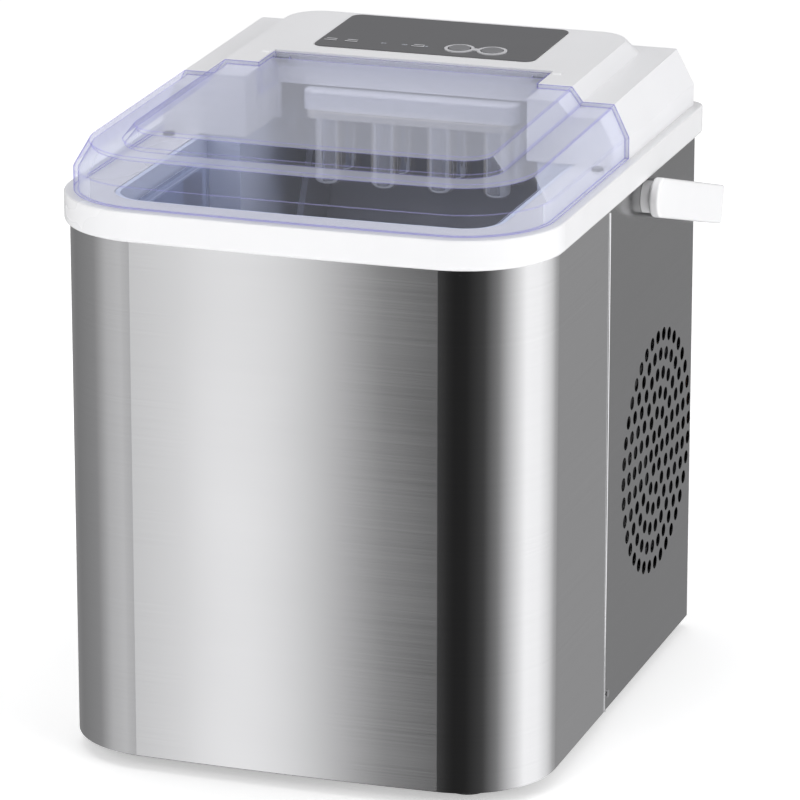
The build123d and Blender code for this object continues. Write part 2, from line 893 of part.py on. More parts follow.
# ---- Handle ----
def carry_handle():
    """U-shaped handle: two flat arms and a crossbar behind the case, stored leaning back."""
    x_in = half_width + handle_arm_gap
    x_out = x_in + handle_arm_thick
    swing = max(math.hypot(y - y_pivot, z - z_pivot) for y, z in swing_corners())
    bar_inner = swing + handle_swing_gap
    bar_outer = bar_inner + handle_bar_thick
    arm = brick((x_in, x_out), (0, bar_outer), (-handle_arm_width / 2, handle_arm_width / 2))
    arm += rod_x(handle_arm_width / 2, (x_in, x_out), 0, 0)
    bar = Pos(0, (bar_inner + bar_outer) / 2, 0) * Box(2 * x_out, handle_bar_thick, handle_arm_width)
    handle = arm + mirrored(arm) + bar
    corners = handle.edges().filter_by(Axis.Z).sort_by(Axis.Y)[-2:]
    handle = fillet(corners, handle_corner)
    handle = fillet(handle.edges().group_by(Axis.Z)[-1], handle_edge_round)
    handle = fillet(handle.edges().group_by(Axis.Z)[0], handle_edge_round)
    bore = rod_x(pivot_radius + running_gap, (x_in - spare, x_in + pivot_bore_depth), 0, 0)
    handle -= [bore, mirrored(bore)]
    return Pos(0, y_pivot, z_pivot) * Rot(-handle_stored_drop, 0, 0) * handle


def handle_pivot_pins():
    """Pins from inside the case through the steel into the arms, headed on the inside."""
    outer = half_width + handle_arm_gap + pivot_bore_depth - pivot_end_gap
    inner = half_width - inner_face - lap_gap
    pin = rod_x(pivot_radius, (inner, outer), y_pivot, z_pivot)
    pin += rod_x(pivot_head, (inner - pivot_head_thick, inner), y_pivot, z_pivot)
    return pair(pin)


def handle_hubs():
    """Round spacers between the case and the arms."""
    x = (half_width - rear_wrap_face + lap_gap, half_width + handle_arm_gap - hub_gap)
    hub = rod_x(hub_radius, x, y_pivot, z_pivot)
    hub = chamfer(hub.edges().group_by(Axis.X)[-1], hub_chamfer)
    return pair(hub - rod_x(pivot_radius + snug_gap, (0, wide), y_pivot, z_pivot))


# ---- Basket ----
def basket_plan(grow):
    """Outline of the basket, grown evenly outwards from its outer face."""
    side = tub_side_margin + basket_side_gap - grow
    front = tub_front_margin + basket_end_gap - grow
    rear = y_rear - y_partition + basket_end_gap - grow
    return plan(side, front, rear, basket_corner + grow, basket_corner + grow)


def ice_basket():
    """Basket with a low rear wall, drain slots and a grab bar across the front."""
    low = rail_top + basket_seat_gap
    basket = prism(basket_plan(0), low, basket_top)
    lip = prism(basket_plan(basket_lip), basket_top - basket_lip_thick, basket_top)
    basket += lip
    basket -= prism(basket_plan(-basket_wall), low + basket_wall, tall)
    y_back = y_partition - basket_end_gap
    y_low = y_back - basket_corner - basket_notch_depth
    basket -= brick((-wide, wide), (y_low, wide), (basket_rear_top, tall))
    y_lip = y_front + tub_front_margin + basket_end_gap
    bar = brick(
        (-basket_bar[0] / 2, basket_bar[0] / 2),
        (y_lip + basket_wall / 2, y_lip + basket_bar[1]),
        (basket_top - basket_bar[2], basket_top),
    )
    basket += bar
    span = 2 * (tub_half - basket_slot_inset)
    count = int(span / basket_slot_pitch) // 2
    for index in range(-count, count + 1):
        x = index * basket_slot_pitch
        basket -= brick(
            (x - basket_slot_width / 2, x + basket_slot_width / 2),
            (y_lip + basket_slot_margin, y_back - basket_slot_margin),
            (low - spare, low + basket_wall + spare),
        )
    return basket


# ---- Freezing parts ----
def finger_spots():
    """Centres of the fingers, in two rows."""
    spots = []
    for y in (y_freeze - finger_row_gap / 2, y_freeze + finger_row_gap / 2):
        for index in range(fingers_in_row):
            spots.append((finger_pitch * (index - (fingers_in_row - 1) / 2), y))
    return spots


def evaporator_plate():
    """Cold plate that carries the fingers."""
    x = (-plate_size[0] / 2, plate_size[0] / 2)
    y = (y_freeze - plate_size[1] / 2, y_freeze + plate_size[1] / 2)
    plate = brick(x, y, (plate_bottom, plate_top))
    return fillet(plate.edges().filter_by(Axis.Z), plate_corner)


def evaporator_fingers():
    """Dip fingers with rounded tips, one solid each."""
    fingers = []
    for x, y in finger_spots():
        finger = rod_z(finger_radius, x, y, (finger_bottom, plate_bottom))
        fingers.append(fillet(finger.edges().group_by(Axis.Z)[0], finger_round))
    return group(fingers)


def evaporator_coil():
    """Flat serpentine of copper tube on the cold plate."""
    points = []
    for row in range(coil_rows):
        y = y_freeze + coil_pitch * (row - (coil_rows - 1) / 2)
        ends = (coil_run / 2, -coil_run / 2) if row % 2 == 0 else (-coil_run / 2, coil_run / 2)
        points += [(x, y, z_coil) for x in ends]
    return pipe(points, coil_pitch * bend_share, coil_radius)


def evaporator_cap():
    """Moulded cap over the coil; its front face stands just behind the plate's front edge."""
    x_half = plate_size[0] / 2 + cap_side_over
    front = y_freeze - plate_size[1] / 2 + cap_front_back
    back = y_freeze + plate_size[1] / 2 + cap_rear_over
    low = plate_top + cap_seat_gap
    high = low + cap_rise
    cap = brick((-x_half, x_half), (front, back), (low, high))
    cap = fillet(cap.edges().filter_by(Axis.Z), plate_corner)
    cap = fillet(cap.edges().group_by(Axis.Z)[-1], cap_round)
    hollow = brick(
        (-x_half + cap_wall, x_half - cap_wall),
        (front + cap_wall, back - cap_wall),
        (low - spare, high - cap_wall),
    )
    return cap - fillet(hollow.edges().filter_by(Axis.Z), plate_corner - cap_wall)


def tray_pose():
    """Turn of the water tray from its freezing position down to its stored position."""
    return Pos(0, y_tray_axis, z_tray_axis) * Rot(tray_lowered, 0, 0)


def tray_shell():
    """Trough, in coordinates about its own axis, in the freezing position."""
    y_middle = -tray_axis_back
    top = tray_axis_drop - tray_top_gap
    inner_low = tray_axis_drop - finger_length - tray_floor_gap
    x_in, y_in = tray_inner[0] / 2, tray_inner[1] / 2
    outer = brick(
        (-x_in - tray_end, x_in + tray_end),
        (y_middle - y_in - tray_wall, y_middle + y_in + tray_wall),
        (inner_low - tray_wall, top),
    )
    low_edges = outer.edges().group_by(Axis.Z)[0].filter_by(Axis.X)
    outer = fillet(low_edges, tray_round + tray_wall)
    inner = brick((-x_in, x_in), (y_middle - y_in, y_middle + y_in), (inner_low, tall))
    inner = fillet(inner.edges().group_by(Axis.Z)[0].filter_by(Axis.X), tray_round)
    tray = outer - inner
    for side in (-1, 1):
        x = sorted((side * x_in, side * (x_in + tray_end)))
        tray += rod_x(tray_boss, x, 0, 0)
    pin = rod_x(tray_pin_radius + snug_gap, (-wide, wide), 0, 0)
    keep = brick((-x_in, x_in), (-wide, wide), (-tall, tall))
    return tray - (pin - keep)


def water_tray():
    """Water trough under the fingers, stored tipped down."""
    return tray_pose() * tray_shell()


def tray_pins():
    """Two stub shafts of the tray; the right one reaches into the motor."""
    x_in = tray_inner[0] / 2
    right = rod_x(tray_pin_radius, (x_in, x_tray_motor + tray_pin_in_motor), *tray_axis)
    left = rod_x(tray_pin_radius, (-chamber_half - tub_wall - spare, -x_in), *tray_axis)
    return group([right, left])


def ice_pusher():
    """Slotted blade on the tray's front wall that sweeps the ice forward."""
    y_out = -tray_axis_back - tray_inner[1] / 2 - tray_wall - pusher_gap
    top = tray_axis_drop - tray_top_gap + pusher_rise
    low = tray_axis_drop - finger_length + tray_round - tray_wall
    blade = brick((-pusher_half, pusher_half), (y_out - pusher_thick, y_out), (low, top))
    middle = (low + top) / 2
    for index in range(pusher_slots):
        x = pusher_pitch * (index - (pusher_slots - 1) / 2)
        blade -= brick(
            (x - pusher_slot[0] / 2, x + pusher_slot[0] / 2),
            (y_out - pusher_thick - spare, y_out + spare),
            (middle - pusher_slot[1] / 2, middle + pusher_slot[1] / 2),
        )
    return tray_pose() * blade


def tray_bushings():
    """Flanged bushes in the chamber's side walls."""
    x = chamber_half
    bush = rod_x(bush_radius, (x - bush_flange_thick, x + tub_wall), *tray_axis)
    bush += rod_x(bush_flange, (x - bush_flange_thick, x - snug_gap), *tray_axis)
    bush -= rod_x(tray_pin_radius + running_gap, (0, wide), *tray_axis)
    return pair(bush)


def tray_motor():
    """Gear motor that turns the tray, outside the chamber's right wall."""
    thick, deep, high = tray_motor_size
    lug_thick, lug_reach, lug_high = tray_motor_lug
    y, z = tray_axis
    near = x_tray_motor
    body = brick((near, near + thick), (y - deep / 2, y + deep / 2), (z - high, z))
    body = fillet(body.edges().filter_by(Axis.X), tray_motor_round)
    lug_half = deep / 2 + lug_reach
    lug = brick((near, near + lug_thick), (y - lug_half, y + lug_half), (z - lug_high, z))
    bore = (near - spare, near + tray_pin_in_motor + motor_bore_spare)
    return body + lug - rod_x(tray_pin_radius + running_gap, bore, y, z)


def ice_full_sensors():
    """Beam sensor pair, one on each side wall of the ice compartment."""
    x = (tub_half - sensor_size[0], tub_half - lap_gap)
    y_low = y_partition - sensor_from_partition
    z = (sensor_height, sensor_height + sensor_size[2])
    sensor = brick(x, (y_low, y_low + sensor_size[1]), z)
    return pair(fillet(sensor.edges().filter_by(Axis.X), sensor_round))


def level_sensor():
    """Water level sensor low on the reservoir's front wall."""
    across, deep, high = level_sensor_size
    x = (level_sensor_x - across / 2, level_sensor_x + across / 2)
    y = (y_tub_front + level_sensor_gap, y_tub_front + level_sensor_gap + deep)
    low = tub_floor + level_sensor_lift
    body = brick(x, y, (low, low + high))
    return fillet(body.edges().filter_by(Axis.Y), level_sensor_round)


# ---- Cooling parts ----
def compressor():
    """Sealed compressor shell with its weld band."""
    z = (compressor_bottom, compressor_top)
    shell = rod_z(compressor_radius, compressor_x, y_compressor, z)
    shell = fillet(shell.edges().group_by(Axis.Z)[-1], compressor_top_round)
    shell = fillet(shell.edges().group_by(Axis.Z)[0], compressor_low_round)
    middle = (z[0] + z[1]) / 2
    reach = compressor_radius + weld_band[0]
    band = (middle - weld_band[1] / 2, middle + weld_band[1] / 2)
    return shell + rod_z(reach, compressor_x, y_compressor, band)


def mount_spots():
    """Centres of the compressor's rubber mounts."""
    x = mount_plate[0] / 2 - mount_inset
    y = mount_plate[1] / 2 - mount_inset
    return [
        (compressor_x + i * x, y_compressor + j * y) for i in (-1, 1) for j in (-1, 1)
    ]


def compressor_plate():
    """Pressed plate under the compressor."""
    across, deep, thick = mount_plate
    top = compressor_bottom
    plate = Pos(compressor_x, y_compressor, top - thick / 2) * Box(across, deep, thick)
    plate = fillet(plate.edges().filter_by(Axis.Z), mount_inset)
    for x, y in mount_spots():
        plate -= rod_z(grommet_neck, x, y, (0, tall))
    return plate


def compressor_mounts():
    """Grooved rubber mounts that carry the plate on the base."""
    top = compressor_bottom - mount_plate[2]
    head = compressor_bottom + grommet_head_thick
    mounts = []
    for x, y in mount_spots():
        mount = rod_z(grommet_radius, x, y, (case_floor, top))
        mount += rod_z(grommet_neck - snug_gap, x, y, (top, head))
        mount += rod_z(grommet_head, x, y, (compressor_bottom + lap_gap, head))
        mounts.append(mount)
    return group(mounts)


def relay_cover():
    """Moulded cover over the compressor's terminals."""
    across, deep, high = relay_size
    shell_rear = y_compressor + compressor_radius
    low = compressor_bottom + relay_lift
    x = (compressor_x - across / 2, compressor_x + across / 2)
    box = brick(x, (shell_rear - relay_sink, shell_rear + deep), (low, low + high))
    box = fillet(box.edges().filter_by(Axis.Y), relay_round)
    reach = compressor_radius + weld_band[0] + relay_gap
    return box - rod_z(reach, compressor_x, y_compressor, (0, tall))


def condenser_rows():
    """Heights of the condenser's tube runs."""
    pitch = condenser_span[1] / tube_rows
    low = fan_height - condenser_span[1] / 2 + pitch / 2
    return [low + pitch * row for row in range(tube_rows)]


def condenser_fins():
    """Stack of thin fins with holes for the tube."""
    x = (x_condenser - condenser_depth, x_condenser)
    z = (fan_height - condenser_span[1] / 2, fan_height + condenser_span[1] / 2)
    pitch = condenser_span[0] / (condenser_fins_count - 1)
    fins = []
    for index in range(condenser_fins_count):
        y = y_fan - condenser_span[0] / 2 + pitch * index
        fin = brick(x, (y - fin_thick / 2, y + fin_thick / 2), z)
        middle = (x[0] + x[1]) / 2
        holes = [
            rod_y(tube_radius + running_gap, middle, (y - spare, y + spare), row)
            for row in condenser_rows()
        ]
        fins.append(fin - holes)
    return group(fins)


def condenser_tube():
    """Copper tube that runs to and fro through the fins and bends clear of them."""
    x = x_condenser - condenser_depth / 2
    bend = condenser_span[1] / tube_rows * bend_share
    near = y_fan - condenser_span[0] / 2 - bend - tube_bend_gap
    far = y_fan + condenser_span[0] / 2 + bend + tube_bend_gap
    points = []
    for index, z in enumerate(condenser_rows()):
        ends = (near, far) if index % 2 == 0 else (far, near)
        points.append((x, ends[0], z))
        points.append((x, ends[1], z))
    return pipe(points, bend, tube_radius)


def fan_shroud():
    """Square plate with a round duct that leads the air to the side vent."""
    high = x_fan_inner - shroud_fan_gap
    x = (high - shroud_wall, high)
    duct = fan_radius + fan_tip_gap
    half = shroud_half
    duct_end = half_width - inner_face - duct_end_gap
    plate = brick(x, (y_fan - half, y_fan + half), (fan_height - half, fan_height + half))
    plate = fillet(plate.edges().filter_by(Axis.X), shroud_round)
    plate += rod_x(duct + shroud_wall, (x[0], duct_end), y_fan, fan_height)
    plate -= rod_x(duct, (x[0] - spare, duct_end + spare), y_fan, fan_height)
    across = (-motor_arm / 2, motor_arm / 2)
    along = (-duct - spare, duct + spare)
    for y, z in ((along, across), (across, along)):
        plate += Pos(0, y_fan, fan_height) * brick(x, y, z)
    return plate - rod_x(motor_radius + snug_gap, (x[0] - spare, high + spare), y_fan, fan_height)


def fan_blade():
    """Five-bladed axial fan."""
    middle = (x_fan_inner + x_fan_outer) / 2
    fan = rod_x(fan_hub, (x_fan_inner + hub_inset, x_fan_outer - hub_inset), y_fan, fan_height)
    span = fan_radius - fan_hub + 2 * blade_root
    sweep_x = (x_fan_inner + blade_inset, x_fan_outer - blade_inset)
    sweep_space = rod_x(fan_radius, sweep_x, y_fan, fan_height)
    for index in range(fan_blades):
        blade = Pos(0, 0, fan_hub - blade_root + span / 2) * Rot(0, 0, blade_pitch)
        blade = blade * Box(blade_thick, blade_chord, span)
        blade = Rot(360 / fan_blades * index, 0, 0) * blade
        fan += (Pos(middle, y_fan, fan_height) * blade) & sweep_space
    shaft_reach = (0, x_fan_outer - shaft_end_inset)
    return fan - rod_x(fan_shaft_radius + snug_gap, shaft_reach, y_fan, fan_height)


def fan_shaft():
    """Shaft between the fan motor and the fan."""
    x = (x_motor_outer - shaft_in_motor, x_fan_outer - shaft_end_inset - shaft_end_gap)
    return rod_x(fan_shaft_radius, x, y_fan, fan_height)


def fan_motor():
    """Fan motor held in the shroud's cross."""
    motor = rod_x(motor_radius, (x_motor_inner, x_motor_outer), y_fan, fan_height)
    motor = fillet(motor.edges().group_by(Axis.X)[0], motor_round)
    reach = (x_motor_outer - shaft_in_motor - spare, wide)
    bore = rod_x(fan_shaft_radius + running_gap, reach, y_fan, fan_height)
    return motor - bore


def pipe(points, bend, radius):
    """Bent round tube along straight runs joined by arcs."""
    path = FilletPolyline(*points, radius=bend)
    return sweep(Plane(path @ 0, z_dir=path % 0) * Circle(radius), path=path)


def discharge_pipe():
    """From the compressor's top to the condenser's highest run."""
    x_start = compressor_x + discharge_port
    z_start = compressor_top - port_sink
    z_high = chamber_floor - tub_wall - discharge_drop
    x_end = x_condenser - condenser_depth / 2
    y_end = y_fan + condenser_span[0] / 2 + discharge_past_fins
    z_end = condenser_rows()[-1] + tube_radius + lap_gap
    points = [(x_start, y_compressor, z_start), (x_start, y_compressor, z_high)]
    points += [(x_start + discharge_run, y_end, z_high), (x_end, y_end, z_high)]
    points.append((x_end, y_end, z_end))
    return pipe(points, discharge_bend, pipe_radius) - compressor()


def suction_pipe():
    """From the cold plate's coil, behind the chamber, down to the compressor."""
    x = -chamber_half + suction_inset
    y_start = y_freeze + plate_size[1] / 2 + suction_start
    x_end = compressor_x + suction_port[0]
    y_end = y_compressor + suction_port[1]
    points = [(x, y_start, z_coil), (x, y_suction, z_coil)]
    points += [(x, y_suction, chamber_floor - suction_drop)]
    points += [(x_end, y_end, compressor_top + suction_rise)]
    points += [(x_end, y_end, compressor_top - port_sink)]
    return pipe(points, suction_bend, pipe_radius) - compressor()


def filter_drier():
    """Copper filter drier, necked at both ends."""
    z = (drier_bottom, drier_bottom + drier_length)
    y = y_rear - drier_from_rear
    radius, length = drier_neck
    body = rod_z(drier_radius, drier_x, y, z)
    body = fillet(body.edges(), drier_round)
    return body + rod_z(radius, drier_x, y, (z[0] - length, z[1] + length))


def hot_gas_valve():
    """Solenoid valve that sends hot gas to the plate to free the ice."""
    x = half_width - valve_from_side
    y = y_rear - valve_from_rear
    z = valve_height
    across, deep, high = valve_coil
    coil = brick((x - across / 2, x + across / 2), (y - deep / 2, y + deep / 2), (z, z + high))
    coil = fillet(coil.edges().filter_by(Axis.Z), valve_round)
    half = valve_body[1] / 2
    body = rod_x(valve_body[0], (x - half, x + half), y, z - valve_body_drop)
    radius, below, above = valve_stem
    return coil + body + rod_z(radius, x, y, (z - below, z + above))


def water_pump():
    """Small pump on the base under the foam."""
    z = (case_floor, case_floor + pump_height)
    pump = rod_z(pump_radius, hose_x, y_pump, z)
    pump = fillet(pump.edges().group_by(Axis.Z)[-1], pump_round)
    reach = (y_pump, y_pump + pump_radius + pump_outlet_length)
    return pump + rod_y(hose_bore, hose_x, reach, z[1] - pump_outlet_drop)


def pump_hose():
    """Hose from the pump up to the floor of the freezing chamber."""
    z = case_floor + pump_height - pump_outlet_drop
    start = y_pump + pump_radius + hose_start
    points = [(hose_x, start, z), (hose_x, y_hose, z), (hose_x, y_hose, chamber_floor)]
    path = FilletPolyline(*points, radius=hose_bend)
    section = Plane(path @ 0, z_dir=path % 0)
    hose = sweep(section * Circle(hose_radius), path=path)
    return hose - sweep(section * Circle(hose_bore + snug_gap), path=path)


# ---- Drain and cord gland ----
def drain_spout():
    """Drain tube from the reservoir's floor down through the base."""
    z = (case_bottom + drain_spout_gap, tub_floor - tub_wall)
    spout = rod_z(drain_bore + drain_wall, drain_x, y_drain, z)
    return spout - rod_z(drain_bore, drain_x, y_drain, (0, tall))


def drain_cap():
    """Screw cap under the base with a coin slot and a plug."""
    top = case_bottom - drain_cap_gap
    low = top - drain_cap_thick
    half, half_width_of_slot, deep = drain_groove
    cap = rod_z(drain_cap_radius, drain_x, y_drain, (low, top))
    cap = chamfer(cap.edges().group_by(Axis.Z)[0], drain_cap_chamfer)
    across = (drain_x - half, drain_x + half)
    along = (y_drain - half_width_of_slot, y_drain + half_width_of_slot)
    groove = brick(across, along, (0, low + deep))
    plug_radius = drain_bore - drain_plug_gap
    plug = rod_z(plug_radius, drain_x, y_drain, (top, case_bottom + drain_plug_rise))
    return cap - groove + plug


def drain_seal():
    """Sealing ring round the drain cap's plug."""
    z = [case_bottom + rise for rise in drain_seal_rise]
    ring = rod_z(drain_bore - drain_seal_gap, drain_x, y_drain, z)
    return ring - rod_z(drain_bore - drain_plug_gap + snug_gap, drain_x, y_drain, z)


def cord_gland():
    """Strain-relief bush in the rear panel, open for a mains cord."""
    face = y_rear - rear_wrap_face
    start = face - gland_in
    body = rod_y(gland_radius, gland_x, (start, face + gland_out), gland_height)
    rim, rim_end = gland_flange
    flange = rod_y(gland_radius + rim, gland_x, (face + lap_gap, face + rim_end), gland_height)
    lock_end = face - steel - gland_lock_gap
    lock = rod_y(gland_radius + gland_lock, gland_x, (start, lock_end), gland_height)
    gland = body + flange + lock
    for index in range(gland_grooves):
        y = face + gland_groove_start + gland_groove_pitch * index
        ring = rod_y(gland_radius + gland_clear, gland_x, (y, y + gland_groove_width), gland_height)
        core = (y - spare, y + gland_groove_width + spare)
        gland -= ring - rod_y(gland_radius - gland_groove_depth, gland_x, core, gland_height)
    bore = (start - cut_reach, face + gland_out + spare)
    return gland - rod_y(gland_bore, gland_x, bore, gland_height)


def build():
    """Every node of the ice maker about the middle of its case."""
    return {
        "base_tray": base_tray(),
        "rubber_feet": rubber_feet(),
        "front_wrap": front_wrap(),
        "rear_wrap": rear_wrap(),
        "case_screws": case_screws(),
        "top_frame": top_frame(),
        "frame_screws": frame_screws(),
        "inner_tub": inner_tub(),
        "insulation_foam": insulation_foam(),
        "rear_top_cover": rear_top_cover(),
        "control_overlay": control_overlay(),
        "button_bezel": button_bezel(),
        "power_button": push_button(-1),
        "select_button": push_button(1),
        "indicator_leds": indicator_leds(),
        "control_board": control_board(),
        "clear_lid": clear_lid(),
        "lid_hinge_pins": lid_hinge_pins(),
        "carry_handle": carry_handle(),
        "handle_pivot_pins": handle_pivot_pins(),
        "handle_hubs": handle_hubs(),
        "ice_basket": ice_basket(),
        "evaporator_plate": evaporator_plate(),
        "evaporator_fingers": evaporator_fingers(),
        "evaporator_coil": evaporator_coil(),
        "evaporator_cap": evaporator_cap(),
        "water_tray": water_tray(),
        "tray_pins": tray_pins(),
        "ice_pusher": ice_pusher(),
        "tray_bushings": tray_bushings(),
        "tray_motor": tray_motor(),
        "ice_full_sensors": ice_full_sensors(),
        "level_sensor": level_sensor(),
        "compressor": compressor(),
        "compressor_plate": compressor_plate(),
        "compressor_mounts": compressor_mounts(),
        "relay_cover": relay_cover(),
        "condenser_fins": condenser_fins(),
        "condenser_tube": condenser_tube(),
        "fan_shroud": fan_shroud(),
        "fan_blade": fan_blade(),
        "fan_shaft": fan_shaft(),
        "fan_motor": fan_motor(),
        "discharge_pipe": discharge_pipe(),
        "suction_pipe": suction_pipe(),
        "filter_drier": filter_drier(),
        "hot_gas_valve": hot_gas_valve(),
        "water_pump": water_pump(),
        "pump_hose": pump_hose(),
        "drain_spout": drain_spout(),
        "drain_cap": drain_cap(),
        "drain_seal": drain_seal(),
        "cord_gland": cord_gland(),
    }


def centring(nodes):
    """Move that puts the origin at the middle of the whole machine's footprint."""
    boxes = [shape.bounding_box() for shape in nodes.values()]
    low = min(box.min.Y for box in boxes)
    high = max(box.max.Y for box in boxes)
    return Pos(0, -(low + high) / 2, 0)


def main():
    """Write one STEP file for each node."""
    os.makedirs("parts", exist_ok=True)
    nodes = build()
    move = centring(nodes)
    for name, shape in nodes.items():
        export_step(move * shape, f"parts/{name}.step")


if __name__ == "__main__":
    main()
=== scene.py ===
"""Looks of a countertop bullet-ice maker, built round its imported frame."""

import logging
import math
from dataclasses import dataclass, field
from enum import Enum

import bmesh
import bpy
from mathutils import Euler, Matrix, Vector


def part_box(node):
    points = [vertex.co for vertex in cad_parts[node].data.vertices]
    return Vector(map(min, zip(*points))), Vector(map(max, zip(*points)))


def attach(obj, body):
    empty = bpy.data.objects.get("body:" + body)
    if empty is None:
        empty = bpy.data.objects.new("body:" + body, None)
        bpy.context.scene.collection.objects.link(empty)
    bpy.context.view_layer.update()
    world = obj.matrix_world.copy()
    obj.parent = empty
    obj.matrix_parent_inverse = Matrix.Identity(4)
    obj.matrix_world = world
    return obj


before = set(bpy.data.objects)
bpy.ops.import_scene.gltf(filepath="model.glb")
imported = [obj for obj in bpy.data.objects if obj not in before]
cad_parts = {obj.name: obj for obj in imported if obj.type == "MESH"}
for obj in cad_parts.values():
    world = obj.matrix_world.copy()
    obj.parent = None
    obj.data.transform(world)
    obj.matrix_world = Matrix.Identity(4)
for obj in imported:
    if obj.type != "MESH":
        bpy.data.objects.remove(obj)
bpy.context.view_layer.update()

log = logging.getLogger("ice_maker")

Colour = tuple[float, float, float]
MM = 0.001


class Body(Enum):
    """Moving and fixed bodies of the machine."""

    CASING = "casing"
    LID = "lid"
    HANDLE = "handle"
    POWER = "power_button"
    SELECT = "select_button"
    FAN = "fan"
    TRAY = "tray"
    BASKET = "basket"
    DRAIN = "drain_cap"


class Grain(Enum):
    """Direction of the fine lines in a brushed sheet."""

    LEVEL = (4.0, 4.0, 2600.0)
    UPRIGHT = (2600.0, 2600.0, 4.0)


# ---------------------------------------------------------------- node helpers


class NodeBoard:
    """Small front for one node tree."""

    def __init__(self, tree: bpy.types.NodeTree) -> None:
        """Empty the tree and keep it.

        Args:
            tree: The node tree to fill.
        """
        self.tree = tree
        tree.nodes.clear()

    def add(self, kind: str, **values: object) -> bpy.types.Node:
        """Add a node and set its plain properties.

        Args:
            kind: Blender's type name, without the leading ShaderNode.
            **values: Property names and values.

        Returns:
            The new node.
        """
        node = self.tree.nodes.new("ShaderNode" + kind)
        for name, value in values.items():
            setattr(node, name, value)
        return node

    def link(self, source: bpy.types.NodeSocket, target: bpy.types.NodeSocket) -> None:
        """Join two sockets.

        Args:
            source: Output socket.
            target: Input socket.
        """
        self.tree.links.new(source, target)

    def place(self, scale: tuple[float, float, float] = (1.0, 1.0, 1.0)) -> bpy.types.NodeSocket:
        """Coordinates in metres of the whole machine, stretched by axis.

        Args:
            scale: Factor for each axis.

        Returns:
            The vector socket.
        """
        where = self.add("TexCoord")
        mapping = self.add("Mapping")
        mapping.inputs["Scale"].default_value = scale
        self.link(where.outputs["Object"], mapping.inputs["Vector"])
        return mapping.outputs["Vector"]

    def noise(
        self, vector: bpy.types.NodeSocket, scale: float, detail: float = 3.0, rough: float = 0.55
    ) -> bpy.types.NodeSocket:
        """Fractal noise.

        Args:
            vector: Coordinates.
            scale: Repeats to the metre.
            detail: Octaves.
            rough: Share of each further octave.

        Returns:
            The noise value.
        """
        node = self.add("TexNoise")
        node.inputs["Scale"].default_value = scale
        node.inputs["Detail"].default_value = detail
        node.inputs["Roughness"].default_value = rough
        self.link(vector, node.inputs["Vector"])
        return node.outputs["Fac"]

    def ranged(
        self, value: bpy.types.NodeSocket, low: float, high: float, start: float = 0.3, end: float = 0.7
    ) -> bpy.types.NodeSocket:
        """Stretch a value to a new range.

        Args:
            value: Value socket.
            low: Result at start.
            high: Result at end.
            start: Value that gives low.
            end: Value that gives high.

        Returns:
            The result socket.
        """
        node = self.add("MapRange")
        self.link(value, node.inputs["Value"])
        node.inputs["From Min"].default_value = start
        node.inputs["From Max"].default_value = end
        node.inputs["To Min"].default_value = low
        node.inputs["To Max"].default_value = high
        return node.outputs["Result"]

    def blend(self, factor: bpy.types.NodeSocket, first: Colour, second: Colour) -> bpy.types.NodeSocket:
        """Mix two colours.

        Args:
            factor: Share of the second colour.
            first: Colour at 0.
            second: Colour at 1.

        Returns:
            The colour socket.
        """
        node = self.add("Mix", data_type="RGBA")
        self.link(factor, node.inputs["Factor"])
        for socket in node.inputs:
            if socket.type == "RGBA" and socket.name in ("A", "B"):
                socket.default_value = (*(first if socket.name == "A" else second), 1.0)
        return next(s for s in node.outputs if s.type == "RGBA")

    def bump(
        self, height: bpy.types.NodeSocket, strength: float, depth: float
    ) -> bpy.types.NodeSocket:
        """Turn a height into a normal.

        Args:
            height: Height value.
            strength: How strongly it shows.
            depth: Depth in metres of a height of one.

        Returns:
            The normal socket.
        """
        node = self.add("Bump")
        node.inputs["Strength"].default_value = strength
        node.inputs["Distance"].default_value = depth
        self.link(height, node.inputs["Height"])
        return node.outputs["Normal"]

    def surface(self, shader: bpy.types.NodeSocket) -> bpy.types.Node:
        """Send a shader to the material's output.

        Args:
            shader: Shader socket.

        Returns:
            The output node.
        """
        out = self.add("OutputMaterial")
        self.link(shader, out.inputs["Surface"])
        return out


def shade(colour: Colour, factor: float) -> Colour:
    """Colour made lighter or darker.

    Args:
        colour: Linear colour.
        factor: Multiplier.

    Returns:
        The new colour, capped at one.
    """
    return tuple(min(1.0, c * factor) for c in colour)


# ---------------------------------------------------------------- finishes


@dataclass(frozen=True)
class Finish:
    """A finish that can be made into a material."""

    label: str
    colour: Colour

    def build(self, board: NodeBoard) -> None:
        """Fill the node tree.

        Args:
            board: The material's node board.
        """
        raise NotImplementedError

    def material(self) -> bpy.types.Material:
        """Make the material once and reuse it.

        Returns:
            The material.
        """
        found = bpy.data.materials.get(self.label)
        if found is not None:
            return found
        made = bpy.data.materials.new(self.label)
        made.use_nodes = True
        made.diffuse_color = (*self.colour, 1.0)
        self.build(NodeBoard(made.node_tree))
        return made


